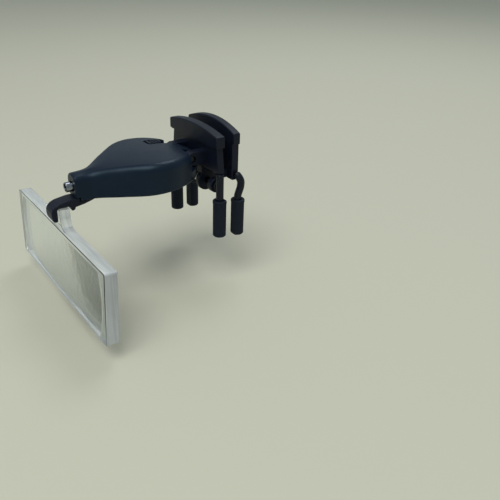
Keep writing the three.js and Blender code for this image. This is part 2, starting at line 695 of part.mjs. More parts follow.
function switchKnob() {
  const low = BOARD.bottom + BOARD.thickness + SWITCH.height + 2 * GAP;
  const top = housingAt(SWITCH.y).top + KNOB.proud;
  const y = SWITCH.y - KNOB.travel / 2;
  const stem = block([SWITCH.x - KNOB.halfX, y - KNOB.halfY, low],
    [SWITCH.x + KNOB.halfX, y + KNOB.halfY, top]);
  const flange = block([SWITCH.x, y - KNOB.halfY, low],
    [SWITCH.x + SLOT.halfX + 1, y + KNOB.halfY - 1, low + 0.5]);
  let knob = stem.add(flange);
  for (const shift of [-1.2, 0, 1.2]) {
    const groove = block([SWITCH.x - KNOB.halfX - 1, y + shift - 0.3, top - 0.5],
      [SWITCH.x + KNOB.halfX + 1, y + shift + 0.3, top + 2]);
    knob = knob.subtract(groove);
  }
  return knob;
}

// Insulated wire from the board, past the cells, to the lamp
function lampWire(side) {
  const z = 21.4;
  const points = [
    [side * 8.6, -20.2, BOARD.bottom + 0.4],
    [side * 10.4, -24.5, z],
    [side * 10.2, -31.5, z - 0.2],
    [side * 6.0, -38.2, z - 0.8],
    [side * 2.9, -42.6, z - 1.4],
    [side * 2.5, -45.0, LAMP.z + 0.8],
    [side * 1.45, -47.3, LAMP.z],
  ].map(([x, y, height]) => new THREE.Vector3(x, y, height));
  return wire(new THREE.CatmullRomCurve3(points), 0.4, 20, 3);
}

// ---- Lens ----
function tabAndSlab() {
  const shape = new THREE.Shape();
  const { half, height } = LENS;
  const { half: tabHalf, flare, rise } = LENS_TAB;
  const corner = 0.8;
  shape.moveTo(-half, -height + corner);
  shape.quadraticCurveTo(-half, -height, -half + corner, -height);
  shape.lineTo(half - corner, -height);
  shape.quadraticCurveTo(half, -height, half, -height + corner);
  shape.lineTo(half, -corner);
  shape.quadraticCurveTo(half, 0, half - corner, 0);
  shape.lineTo(-half + corner, 0);
  shape.quadraticCurveTo(-half, 0, -half, -corner);
  const tab = new THREE.Shape();
  tab.moveTo(-flare, -1);
  tab.lineTo(flare, -1);
  tab.lineTo(flare, 0);
  tab.quadraticCurveTo(tabHalf + 0.6, 0.3, tabHalf, 3.2);
  tab.lineTo(tabHalf - 0.2, rise);
  tab.lineTo(-tabHalf + 0.2, rise);
  tab.lineTo(-tabHalf, 3.2);
  tab.quadraticCurveTo(-tabHalf - 0.6, 0.3, -flare, 0);
  const slab = plateXZ(shape, -LENS.thickness / 2, LENS.thickness / 2, 0.25);
  const { back, thickness } = LENS_TAB;
  return slab.add(plateXZ(tab, back - thickness / 2, back + thickness / 2));
}

// The optical zone is a shallow dome inside a flat rim, round at both ends and cut straight above and below
function magnifierLens() {
  const { radius, margin, depth } = LENS_ZONE;
  const middle = -LENS.height / 2;
  const front = -LENS.thickness / 2;
  const window = block([-radius, front - 3, -LENS.height + margin], [radius, front + depth, -margin]);
  const zone = window.intersect(barY(0, front - 4, front + 4, middle, radius, 64));
  const domeRadius = (radius ** 2 + depth ** 2) / (2 * depth);
  const profile = [];
  for (let i = 0; i <= 5; i += 1) {
    const r = radius * i / 5;
    const sag = domeRadius - Math.sqrt(domeRadius ** 2 - r ** 2);
    profile.push(new THREE.Vector2(r, front + sag));
  }
  profile.push(new THREE.Vector2(radius + 1, front + depth));
  profile.push(new THREE.Vector2(radius + 1, front + depth + 1), new THREE.Vector2(0, front + depth + 1));
  const dome = placed(new THREE.LatheGeometry(profile, FINE), 0, 0, middle);
  return tabAndSlab().subtract(zone.subtract(dome));
}

// ---- Assembly ----
const group = new THREE.Group();

function addNode(name, solid, look, parent = group) {
  const mesh = new THREE.Mesh(toGeometry(solid), look());
  mesh.name = name;
  parent.add(mesh);
  return mesh;
}

const SIDES = [['left', 1], ['right', -1]];

function addClip() {
  addNode('front_jaw_plate', frontJawPlate(), MATERIALS.plastic);
  addNode('rear_jaw_plate', rearJawPlate(), MATERIALS.plastic);
  addNode('clip_pin', clipPin(), MATERIALS.steel);
  addNode('clip_spring', clipSpring(), MATERIALS.steel);
  for (const [word, side] of SIDES) {
    addNode(`front_prong_${word}`, frontProng(side), MATERIALS.blackSteel);
    addNode(`rear_prong_${word}`, rearProng(side), MATERIALS.blackSteel);
    addNode(`front_grip_sleeve_${word}`, gripSleeve(side * FRONT_PRONG.x, FRONT_PRONG.y, FRONT_SLEEVE),
      MATERIALS.rubber);
    addNode(`rear_grip_sleeve_${word}`, gripSleeve(side * REAR_PRONG.x, REAR_PRONG.y, REAR_SLEEVE),
      MATERIALS.rubber);
  }
}

function addHousing() {
  const flipPin = barX(-FLIP_PIN_HALF, FLIP_PIN_HALF, FLIP.y, FLIP.z, FLIP_PIN_RADIUS);
  addNode('flip_pin', flipPin, MATERIALS.steel);
  addNode('housing_shell', housingShell(), MATERIALS.shell);
  addNode('housing_base', housingBase(), MATERIALS.plastic);
  addNode('battery_door', batteryDoor(), MATERIALS.plastic);
  addNode('battery_door_screw', doorScrew(), MATERIALS.steel);
  addNode('case_screw_front', caseScrew(FRONT_SCREW), MATERIALS.steel);
  addNode('case_screw_rear_left', caseScrew(REAR_SCREWS[0]), MATERIALS.steel);
  addNode('case_screw_rear_right', caseScrew(REAR_SCREWS[1]), MATERIALS.steel);
  addNode('lens_carrier', lensCarrier(), MATERIALS.plastic);
}

function addLampParts() {
  addNode('led_bezel', ledBezel(), MATERIALS.chrome);
  addNode('led', led(), MATERIALS.lamp);
  addNode('led_wire_red', lampWire(1), MATERIALS.red);
  addNode('led_wire_black', lampWire(-1), MATERIALS.plastic);
  addNode('circuit_board', circuitBoard(), MATERIALS.board);
  addNode('switch_body', switchBody(), MATERIALS.steel);
  addNode('switch_knob', switchKnob(), MATERIALS.plastic);
  addNode('coin_cell_lower', coinCell(0), MATERIALS.steel);
  addNode('coin_cell_upper', coinCell(1), MATERIALS.steel);
  addNode('battery_contact_positive', positiveContact(), MATERIALS.brass);
  addNode('battery_contact_negative', negativeContact(), MATERIALS.brass);
}

function addLens() {
  const lens = addNode('magnifier_lens', magnifierLens(), MATERIALS.clear);
  lens.position.set(0, LENS.topY, LENS.topZ);
  lens.rotation.x = THREE.MathUtils.degToRad(-LENS.tilt);
}

addClip();
addHousing();
addLampParts();
addLens();

export default group;
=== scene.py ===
"""Looks of the clip-on flip magnifier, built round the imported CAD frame.

Shapes are made in millimetres in the row frame and scaled to metres when they are placed.
+X is the wearer's left, -Y forward, +Z up, and the origin is in the grip.
"""
import math

import bmesh
import bpy
from mathutils import Matrix, Vector


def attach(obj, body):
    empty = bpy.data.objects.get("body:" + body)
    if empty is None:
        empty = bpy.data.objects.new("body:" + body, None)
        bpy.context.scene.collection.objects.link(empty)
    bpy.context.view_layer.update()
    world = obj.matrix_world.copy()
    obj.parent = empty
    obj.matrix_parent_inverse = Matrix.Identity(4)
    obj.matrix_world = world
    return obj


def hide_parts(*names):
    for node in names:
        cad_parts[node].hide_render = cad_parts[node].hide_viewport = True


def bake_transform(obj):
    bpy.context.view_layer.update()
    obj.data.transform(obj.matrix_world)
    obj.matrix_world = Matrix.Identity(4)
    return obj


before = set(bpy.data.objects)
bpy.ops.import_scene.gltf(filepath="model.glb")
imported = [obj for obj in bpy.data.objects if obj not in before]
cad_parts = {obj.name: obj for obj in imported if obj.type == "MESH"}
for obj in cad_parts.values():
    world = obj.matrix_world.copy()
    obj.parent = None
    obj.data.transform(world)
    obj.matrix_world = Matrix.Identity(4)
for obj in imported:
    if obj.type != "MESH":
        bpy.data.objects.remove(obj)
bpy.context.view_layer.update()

MM = 0.001
SAME_POINT = 0.0001   # corners of a new solid this near are one
WELD = 0.001   # corners of a finished piece this near are one
FLAT_ANGLE = 0.2   # degrees between faces that count as one flat
STRAIGHT_ANGLE = 172   # a flatter corner, in degrees, isn't rounded
CORNER_REACH = 0.45   # the most of a side that one rounded corner takes
BOX_CORNER = 1.6   # a box's upright edges are rounded this much more than its rims
# Places past the object, for the ends of cutting tools
BELOW, ABOVE_BASE, OUTSIDE, ABOVE = 10.0, 20.0, 20.0, 40.0

# ---- Driving dimensions, millimetres ----
GAP = 0.3
FRONT_PRONG_X, FRONT_PRONG_Y = 15.2, -3.5
REAR_PRONG_X, REAR_PRONG_Y = 15.9, 4.2
PRONG_RADIUS = 1.4
PIN_PLAY = 0.25
FRONT_SPIGOT_X, FRONT_SPIGOT_Y = 14.5, -3.25
FRONT_SPIGOT, REAR_SPIGOT = 2.2, 3.0
SPIGOT_RADIUS = 0.65
SLEEVE_RADIUS = 2.5
# bottom, top, and distance of the flat from the prong's axis
FRONT_SLEEVE = (-6.8, 7.8, 1.8)
REAR_SLEEVE = (-7.5, 6.8, 1.8)
SLEEVE_FLOOR, SLEEVE_FOOT, SLEEVE_PLAY = 1.1, 0.6, 0.2
# the sleeve's rolled rim: distance outside the sleeve, and below its top
SLEEVE_RIM = [(0.0, 1.5), (0.12, 1.1), (0.12, 0.35), (-0.05, 0.08), (-0.3, 0.0)]
PRONG_TIP_ROUNDING, SPIGOT_ROUNDING = 0.3, 0.1
SHOULDER_CHAMFER = 0.15
# the bend of each rear rod between its plate and its shank: outwards and back from the shank, and down
REAR_BEND = [(0.0, 0.4, 0.8), (0.4, 0.9, 2.2), (0.4, 0.8, 4.4)]
ROD_STUB = 0.3
# heights above the sleeve's top: the bend's end, the shank's top, and the rod's end inside the shank
BEND_END, SHANK_TOP, ROD_END = 1.2, -2.2, -2.4

FRONT_PLATE = (-4.6, -1.9)
FRONT_LIP, LIP_CHAMFER = -5.5, 0.25
REAR_PLATE = (2.3, 5.3)
PLATE_ROUNDING = 0.4
EAR_BOTTOM = 27.5
SIDE_CORNER, CROWN_CORNER = 0.8, 1.0
FRONT_TAB = dict(ear=15.8, side=14.6, ear_top=31.4, crown=33.3, bottom=18.0, foot=15.65, foot_top=19.0)
REAR_TAB = dict(ear=15.1, side=14.4, ear_top=31.4, crown=34.4, bottom=14.0, foot=14.4, foot_top=17.8)
TAB_HOLE_Z, TAB_HOLE_RADIUS = 29.3, 1.0
REAR_PRONG_Z = REAR_TAB["bottom"] + 1.9

PIVOT = PIVOT_Y, PIVOT_Z = -2.1, 12.0
PIVOT_PIN_RADIUS, PIVOT_PIN_HALF, PIVOT_PIN_ROUNDING = 1.1, 11.9, 0.1
PIN_HEAD_X = 11.8
# radius of the pin's head, and distance from its inner face outwards
PIN_HEAD = [(0, 0.0), (1.9, 0.0), (1.9, 0.35), (1.7, 0.55), (1.2, 0.66), (0, 0.7)]
# pivot ears: inner and outer face, radius, rim, and the degrees at which the round part starts and ends
FRONT_EAR = dict(inner=3.0, outer=5.0, radius=4.0, rounding=0.35, start=87.1, end=-231.3)
REAR_EAR = dict(inner=9.0, outer=11.5, radius=2.9, rounding=0.3, start=101.9, end=400.7)
REAR_ARM_BOTTOM, REAR_ARM_TOP = 14.3, 17.4
REAR_ARM_FRONT, REAR_ARM_BACK = PIVOT_Y - 0.6, PIVOT_Y + 2.2
SKIRT_HALF, SKIRT_BOTTOM = 4.9, PIVOT_Z + 2.7
SKIRT_FRONT, SKIRT_BACK = FRONT_PLATE[0] + 0.4, FRONT_PLATE[1] - 0.8
# heights of the points on the spring's two legs
SPRING_FRONT_LEG = (21.5, 19.0, 16.8)
SPRING_REAR_LEG = (16.8, 20.0, 23.5)
FLIP = FLIP_Y, FLIP_Z = -10.2, 22.3
FLIP_PIN_RADIUS, FLIP_PIN_HALF, FLIP_PIN_ROUNDING = 1.0, 7.7, 0.2
LUG_INNER, LUG_OUTER, LUG_RADIUS, LUG_ROUNDING = 4.6, 8.0, 2.6, 0.4
FLIP_REACH = LUG_OUTER + 1

# y, half width, bottom z and top z of the housing along its length, nose first
HOUSING_STATIONS = [
    (-52.0, 3.3, 14.0, 22.8),
    (-46.4, 3.9, 14.2, 23.2),
    (-38.4, 9.4, 14.8, 24.9),
    (-30.4, 14.9, 15.5, 26.1),
    (-24.0, 16.1, 15.9, 26.4),
    (-15.4, 13.3, 16.0, 26.0),
    (-9.4, 8.7, 15.9, 24.6),
    (-6.3, 4.6, 15.9, 23.2),
]
NOSE_Y, TAIL_Y = -52.0, -6.3
SHELL_WALL, SHELL_ENDS = 1.2, 0.6
TOP_EDGE, LEAST_TOP_EDGE = 3.0, 0.4
TOP_EDGE_SHARE = 0.7   # the most of the half width that the rounded top edge takes
LOW_EDGE = 0.5
CROWN = 0.25
CAVITY_FRONT, CAVITY_BACK = -50.8, -14.5
CAVITY_BELOW = -2.0
BASE_THICKNESS, BASE_EDGE = 1.9, 0.1
BASE_FRONT = -41.4
CHIN_HALF, CHIN_BACK, CHIN_TOP = 5.0, CAVITY_FRONT + 0.4, 15.5

CELL_Y, CELL_RADIUS, CELL_THICKNESS, CELL_BOTTOM = -28.0, 8.0, 1.9, 18.6
CELL_PLAY = 0.4
# the cell's stepped lower rim and its rounded upper rim: distance inwards, and up or down from its face
CELL_LOW_RIM = [(0.9, 0.0), (0.8, 0.05), (0.7, 0.22), (0.6, 0.25), (0.15, 0.3), (0.0, 0.45)]
CELL_TOP_RIM = [(0.0, 0.2), (0.06, 0.06), (0.2, 0.0)]
DOOR_HALF, DOOR_FRONT, DOOR_BACK, DOOR_CORNER = 9.0, -37.4, -15.6, 5.0
DOOR_THICKNESS = 0.7
DOOR_SCREW_Y = -17.3
DOOR_SCREW_SEAT = 0.45
DOOR_SCREW_DROP, DOOR_SCREW_HEAD, DOOR_SCREW_LENGTH = 0.25, 0.4, 2.9
DOOR_POST_TOP, DOOR_PILOT_TOP = 20.6, 20.2
FRONT_SCREW = (0.0, -44.6)
REAR_SCREWS = [(9.3, -16.2), (-9.3, -16.2)]
SCREW_HEAD, SCREW_HEAD_HEIGHT, SCREW_SHANK, SCREW_LENGTH = 1.4, 0.8, 0.6, 4.2
CASE_SCREW_SINK = 0.05
SEAT_PLAY = 0.1
THREAD_DEPTH, THREAD_RISE, THREAD_PITCH = 0.12, 0.15, 0.35
CROSS_LENGTH, CROSS_WIDTH = 0.8, 0.15   # half sizes of each slot of the cross
CROSS_DEPTH = 0.6   # as a share of the head's height
POST_RADIUS = 1.6
POST_SINK = 0.8   # from the housing's top down to the end of a post, inside the wall

LAMP_Z = 18.7
LED_RADIUS, LED_BACK, LED_SET_IN = 0.95, 0.4, 0.5
LEAD_X, LEAD_HALF, LEAD_LENGTH = 0.5, 0.2, 3.2
BEZEL_OUTER, BEZEL_INNER = 1.65, 1.2
LAMP_FRONT, LAMP_BACK = -54.3, -49.6
BOARD_HALF, BOARD_FRONT, BOARD_BACK = 7.4, -19.6, -14.9
BOARD_BOTTOM, BOARD_THICKNESS = 21.4, 0.8
BOARD_CORNER, BOARD_ROUNDING = 0.6, 0.05
SWITCH_X, SWITCH_Y = -5.9, -17.3
SWITCH_HALF, SWITCH_HEIGHT, SWITCH_ROUNDING = (1.3, 2.2), 1.3, 0.12
SLOT_HALF, SLOT_CORNER = (2.7, 4.2), 1.2
SLOT_BOTTOM, SLOT_TOP = 23, 30
KNOB_HALF, KNOB_CORNER, KNOB_ROUNDING = (1.8, 2.4), 0.5, 0.15
KNOB_TRAVEL = 2.0
KNOB_PROUD = 0.45
FLANGE_THICKNESS = 0.5
GROOVES, GROOVE_RADIUS, GROOVE_SINK = (-1.2, 0.0, 1.2), 0.42, 0.05
CONTACT_THICKNESS, CONTACT_CHAMFER = 0.25, 0.05
CONTACT_RIGHT = 8.9
WIRE_RADIUS = 0.4
# points chosen along each lamp wire, from the board to the lamp
WIRE_ROUTE = [
    (8.6, -20.2, BOARD_BOTTOM + 0.4), (10.4, -24.5, 21.4), (10.2, -31.5, 21.2), (6.0, -38.2, 20.6),
    (2.9, -42.6, 20.0), (2.5, -45.0, LAMP_Z + 0.8), (1.45, -47.3, LAMP_Z),
]

CARRIER_HALF, CARRIER_ROUNDING, HOOK_CORNER = 2.7, 0.3, 0.9
TONGUE_HALF, TONGUE_ROUNDING, TONGUE_CORNER = 1.9, 0.12, 0.15
WEDGE_INSET = 0.02
LENS_HALF, LENS_HEIGHT, LENS_THICKNESS = 37.5, 25.5, 4.4
LENS_CORNER, LENS_ROUNDING = 0.8, 0.3
LENS_TILT = math.radians(3.5)
LENS_TOP = (0.0, -57.0, 6.0)
TAB_MIDDLE, TAB_THICKNESS, TAB_ROUNDING = 0.35, 3.6, 0.2
TAB_FOOT_HALF = 8.0
# the tab's flared side, from the lens up: half width and height
TAB_FLARE = [(5.6, 0.16), (4.3, 0.6), (3.5, 1.4), (3.1, 2.4), (2.9, 3.4), (2.75, 6.3)]
ZONE_RADIUS, ZONE_MARGIN, ZONE_DEPTH = 35.0, 1.3, 1.2
DOME_STEPS = 24
EDGE_NORMAL = 0.4   # faces whose normal leans less than this towards Y are the lens's edge


# ---- Outlines ----
def arc(cx, cy, radius, start, end, steps):
    """Points on a circle between two angles in degrees."""
    angles = [math.radians(start + (end - start) * i / steps) for i in range(steps + 1)]
    return [(cx + radius * math.cos(a), cy + radius * math.sin(a)) for a in angles]


def fillet(points, radius, steps=5):
    """Rounds the corners of a closed outline. radius is one number, or one for each corner."""
    radii = radius if isinstance(radius, (list, tuple)) else [radius] * len(points)
    rounded = []
    for i, point in enumerate(points):
        corner = Vector(point)
        before = Vector(points[i - 1]) - corner
        after = Vector(points[(i + 1) % len(points)]) - corner
        angle = before.angle(after)
        if radii[i] <= 0 or angle > math.radians(STRAIGHT_ANGLE):
            rounded.append(tuple(corner))
            continue
        reach = min(radii[i] / math.tan(angle / 2), CORNER_REACH * min(before.length, after.length))
        start = corner + before.normalized() * reach
        end = corner + after.normalized() * reach
        for k in range(steps + 1):
            t = k / steps
            rounded.append(tuple(start * (1 - t) ** 2 + corner * 2 * t * (1 - t) + end * t * t))
    return rounded


def counter_clockwise(outline):
    area = sum(a[0] * b[1] - b[0] * a[1] for a, b in zip(outline, outline[1:] + outline[:1]))
    return outline if area > 0 else outline[::-1]


def inset(outline, distance, least=0.3):
    """A counter-clockwise outline moved inwards. least keeps a sharp corner from running away."""
    moved = []
    for i, point in enumerate(outline):
        here = Vector(point)
        before = (here - Vector(outline[i - 1])).normalized()
        after = (Vector(outline[(i + 1) % len(outline)]) - here).normalized()
        n0 = Vector((-before.y, before.x))
        n1 = Vector((-after.y, after.x))
        shift = (n0 + n1) / max(1 + n0.dot(n1), least)
        moved.append(tuple(here + shift * distance))
    return moved


def rounded_rect(x0, y0, x1, y1, radius, steps=8):
    low_x, low_y, high_x, high_y = x0 + radius, y0 + radius, x1 - radius, y1 - radius
    corners = ((high_x, low_y), (high_x, high_y), (low_x, high_y), (low_x, low_y))
    return [p for i, (x, y) in enumerate(corners) for p in arc(x, y, radius, 90 * i - 90, 90 * i, steps)]


def rounded_pad(x, y, half, radius, steps=8):
    """A rounded rectangle round a middle point."""
    return rounded_rect(x - half[0], y - half[1], x + half[0], y + half[1], radius, steps)


# ---- Solids, in millimetres ----
def new_object(name, data):
    made = bpy.data.objects.new(name, data)
    bpy.context.scene.collection.objects.link(made)
    return made


def solid(name, points, faces):
    mesh = bpy.data.meshes.new(name)
    mesh.from_pydata([tuple(p) for p in points], [], faces)
    form = bmesh.new()
    form.from_mesh(mesh)
    bmesh.ops.remove_doubles(form, verts=form.verts, dist=SAME_POINT)
    bmesh.ops.recalc_face_normals(form, faces=form.faces)
    form.to_mesh(mesh)
    form.free()
    return new_object(name, mesh)


def skin(name, rings, closed=False):
    """A closed solid through rings of equal length. An open row of rings is capped."""
    count = len(rings[0])
    points = [p for ring in rings for p in ring]
    faces = []
    for i in range(len(rings) if closed else len(rings) - 1):
        low = i * count
        high = (i + 1) % len(rings) * count
        for j in range(count):
            k = (j + 1) % count
            faces.append((low + j, low + k, high + k, high + j))
    if not closed:
        last = (len(rings) - 1) * count
        faces.append(tuple(range(count))[::-1])
        faces.append(tuple(range(last, last + count)))
    return solid(name, points, faces)


# t runs along the axis
AXES = {
    "x": lambda a, b, t: (t, a, b),
    "y": lambda a, b, t: (a, t, b),
    "z": lambda a, b, t: (a, b, t),
}


def prism(name, outline, low, high, axis, rounding=0.0, steps=4):
    """An outline extruded along an axis, with its rim rounded at both ends."""
    put = AXES[axis]
    outline = counter_clockwise(outline)
    if not rounding:
        return skin(name, [[put(u, v, t) for u, v in outline] for t in (low, high)])
    rings = []
    for end, sign in ((low, 1), (high, -1)):
        turn = []
        for k in range(steps + 1):
            angle = math.pi / 2 * k / steps
            depth = end + sign * rounding * (1 - math.cos(angle))
            drawn_in = inset(outline, rounding * (1 - math.sin(angle)))
            turn.append([put(u, v, depth) for u, v in drawn_in])
        rings += turn if sign > 0 else turn[::-1]
    return skin(name, rings)


def box(name, low, high, rounding=0.0):
    outline = [(low[0], low[1]), (high[0], low[1]), (high[0], high[1]), (low[0], high[1])]
    if rounding:
        outline = fillet(outline, BOX_CORNER * rounding, 3)
    return prism(name, outline, low[2], high[2], "z", rounding, 3)


def lathe(name, profile, axis, centre=(0.0, 0.0), sides=48, closed=False):
    """A turned solid. profile holds (radius, place along the axis)."""
    put = AXES[axis]
    rings = []
    for radius, t in profile:
        turn = arc(centre[0], centre[1], max(radius, 0.0), 0, 360 - 360 / sides, sides - 1)
        rings.append([put(a, b, t) for a, b in turn])
    return skin(name, rings, closed)


def rounded_foot(radius, low, rounding, steps=3):
    """Profile points round the lower end of a turned solid."""
    angles = [math.pi / 2 * k / steps for k in range(steps + 1)]
    return [(radius - rounding + rounding * math.sin(a), low + rounding * (1 - math.cos(a))) for a in angles]


def bar(name, low, high, radius, axis, centre, rounding=0.0, sides=48):
    """A round bar with rounded ends."""
    profile = [(0, low)]
    if rounding:
        profile += rounded_foot(radius, low, rounding)
        profile += [(r, high + low - t) for r, t in profile[:0:-1]]
    else:
        profile += [(radius, low), (radius, high)]
    return lathe(name, profile + [(0, high)], axis, centre, sides)


def blended(a, b, t_a, t_b, t):
    return (a * (t_b - t) + b * (t - t_a)) / (t_b - t_a)


def catmull(points, steps):
    """Points on a centripetal Catmull-Rom curve through the given points."""
    points = [Vector(p) for p in points]
    full = [points[0] * 2 - points[1], *points, points[-1] * 2 - points[-2]]
    curve = []
    for p0, p1, p2, p3 in zip(full, full[1:], full[2:], full[3:]):
        t0, t1 = 0.0, (p1 - p0).length ** 0.5
        t2 = t1 + (p2 - p1).length ** 0.5
        t3 = t2 + (p3 - p2).length ** 0.5
        for k in range(steps):
            t = t1 + (t2 - t1) * k / steps
            a = blended(p0, p1, t0, t1, t)
            b = blended(p1, p2, t1, t2, t)
            c = blended(p2, p3, t2, t3, t)
            curve.append(blended(blended(a, b, t0, t2, t), blended(b, c, t1, t3, t), t1, t2, t))
    curve.append(points[-1])
    return curve


def soften(points, rounds):
    """Cuts the corners of an open line, keeping its ends."""
    points = [Vector(p) for p in points]
    for _ in range(rounds):
        cut_line = [points[0]]
        for a, b in zip(points, points[1:]):
            cut_line += [a * 0.75 + b * 0.25, a * 0.25 + b * 0.75]
        points = cut_line + [points[-1]]
    return points


def tube(name, path, radius, sides=24):
    """A round wire along a line of points, its ends cut back a little at the rim."""
    path = [Vector(p) for p in path]
    rim, clear = radius * 0.2, radius * 0.3
    ends = [path[0] + (path[1] - path[0]).normalized() * rim,
            path[-1] + (path[-2] - path[-1]).normalized() * rim]
    inner = [p for p in path if min((p - path[0]).length, (p - path[-1]).length) > clear]
    path = [path[0], ends[0], *inner, ends[1], path[-1]]
    radii = [radius - rim] + [radius] * (len(path) - 2) + [radius - rim]
    along = (path[1] - path[0]).normalized()
    side = along.orthogonal().normalized()
    rings = []
    for i, point in enumerate(path):
        ahead = (path[min(i + 1, len(path) - 1)] - path[max(i - 1, 0)]).normalized()
        side = (along.rotation_difference(ahead) @ side).normalized()
        along = ahead
        up = along.cross(side)
        rings.append([
            point + (side * math.cos(a) + up * math.sin(a)) * radii[i]
            for a in (2 * math.pi * k / sides for k in range(sides))
        ])
    return skin(name, rings)


def settle(made):
    """Applies every modifier of an object."""
    graph = bpy.context.evaluated_depsgraph_get()
    mesh = bpy.data.meshes.new_from_object(made.evaluated_get(graph), depsgraph=graph)
    made.modifiers.clear()
    made.data = mesh
    return made


def combined(target, tools, operation):
    for tool in tools:
        step = target.modifiers.new("combine", "BOOLEAN")
        step.object = tool
        step.operation = operation
        step.solver = "MANIFOLD"
    settle(target)
    for tool in tools:
        bpy.data.objects.remove(tool)
    return target


def join(target, *tools):
    return combined(target, tools, "UNION")


def cut(target, *tools):
    return combined(target, tools, "DIFFERENCE")


def keep_inside(target, tool):
    return combined(target, [tool], "INTERSECT")


def chamfer(made, width, segments=2, angle=35):
    """Rounds the sharp edges of a solid."""
    step = made.modifiers.new("chamfer", "BEVEL")
    step.width = width
    step.segments = segments
    step.limit_method = "ANGLE"
    step.angle_limit = math.radians(angle)
    return settle(made)


def clean(made, flats):
    """Welds corners that all but touch. flats also joins coplanar faces, to shade each side as one."""
    form = bmesh.new()
    form.from_mesh(made.data)
    bmesh.ops.remove_doubles(form, verts=form.verts, dist=WELD)
    if flats:
        limit = math.radians(FLAT_ANGLE)
        bmesh.ops.dissolve_limit(form, angle_limit=limit, verts=form.verts, edges=form.edges)
    form.to_mesh(made.data)
    form.free()


# ---- Placing a piece on the frame ----
def place(made, body, node, look, smooth_angle=32, flats=False):
    """Cleans a piece, scales it to metres, shades it, and puts it in a CAD node's place."""
    clean(made, flats)
    made.data.transform(Matrix.Scale(MM, 4))
    shade(made, look, smooth_angle)
    made.name = node + "_look"
    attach(made, body)
    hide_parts(node)
    return made


def shade(made, look, smooth_angle=32):
    """Gives a piece one of the looks, and smooth shading between its sharp edges."""
    made.data.shade_smooth()
    made.data.set_sharp_from_angle(angle=math.radians(smooth_angle))
    made.data.materials.clear()
    made.data.materials.append(LOOKS[look])
    weigh = made.modifiers.new("weigh", "WEIGHTED_NORMAL")
    weigh.keep_sharp = True
    weigh.weight = 60


# ---- Materials ----
# Noise stays near one half, so a look changes between these two values of it
MOTTLE_RANGE, SHINE_RANGE, WEAR_AND_HIGHLIGHT_RANGE = (0.32, 0.68), (0.75, 1.25), (0.40, 0.66)
WAVE_RANGE, STREAK_RANGE = (0.3, 0.7), (0.35, 0.65)
EDGE_RANGE = (0.995, 0.80)   # how well the rounded and the plain normal agree on a flat and on an edge
# size and least strength of the patches on the lighter edges: wear, and on the shell and black plastic a
# painted edge highlight too
WEAR_AND_HIGHLIGHT_PATCH, LEAST_WEAR_AND_HIGHLIGHT = 1.4, 0.15
ACRYLIC_IOR = 1.49


def add(tree, kind, **inputs):
    """Adds a shader node. set_x sets its own x, i3 its input 3, and From_Min its input From Min.

    A value may be a number, a colour or another node's socket.
    """
    made = tree.nodes.new("ShaderNode" + kind)
    for name, value in inputs.items():
        if name.startswith("set_"):
            setattr(made, name[4:], value)
            continue
        key = int(name[1:]) if name[1:].isdigit() else name.replace("_", " ")
        socket = made.inputs[key]
        if isinstance(value, bpy.types.NodeSocket):
            tree.links.new(value, socket)
        else:
            socket.default_value = value
    return made


def remap(tree, value, low, high, to_low, to_high):
    return add(tree, "MapRange", Value=value, From_Min=low, From_Max=high, To_Min=to_low,
               To_Max=to_high).outputs[0]


def mix_colour(tree, factor, a, b):
    return add(tree, "Mix", set_data_type="RGBA", i0=factor, i6=a, i7=b).outputs[2]


def noise(tree, coordinates, size, detail=3.0, roughness=0.5):
    """Noise whose features are about size millimetres across."""
    scale = 1 / (size * MM)
    made = add(tree, "TexNoise", Vector=coordinates, Scale=scale, Detail=detail, Roughness=roughness)
    return made.outputs[0]


def edge_mask(tree, width):
    """1 on convex edges within about width millimetres, 0 on flats."""
    rounded = add(tree, "Bevel", Radius=width * MM, set_samples=6)
    plain = add(tree, "NewGeometry")
    agree = add(tree, "VectorMath", set_operation="DOT_PRODUCT", i0=rounded.outputs[0],
                i1=plain.outputs["Normal"])
    return remap(tree, agree.outputs["Value"], *EDGE_RANGE, 0.0, 1.0)


def rgba(colour):
    return (*colour, 1.0)


def start_look(name, stretch):
    """A new material, its node tree, and its coordinates as they are and stretched."""
    made = bpy.data.materials.new(name)
    made.use_nodes = True
    place_at = add(made.node_tree, "TexCoord").outputs["Object"]
    stretched = add(made.node_tree, "Mapping", Vector=place_at, Scale=stretch)
    return made, made.node_tree, place_at, stretched.outputs[0]


def finish_look(tree, base, rough, height, bump, uniform):
    """Wires colour, roughness and relief into the shader, and sets its uniform values."""
    shader = tree.nodes["Principled BSDF"]
    relief = add(tree, "Bump", Height=height, Distance=bump * MM)
    for key, socket in (("Base Color", base), ("Roughness", rough), ("Normal", relief.outputs[0])):
        tree.links.new(socket, shader.inputs[key])
    for key, value in uniform.items():
        shader.inputs[key].default_value = value


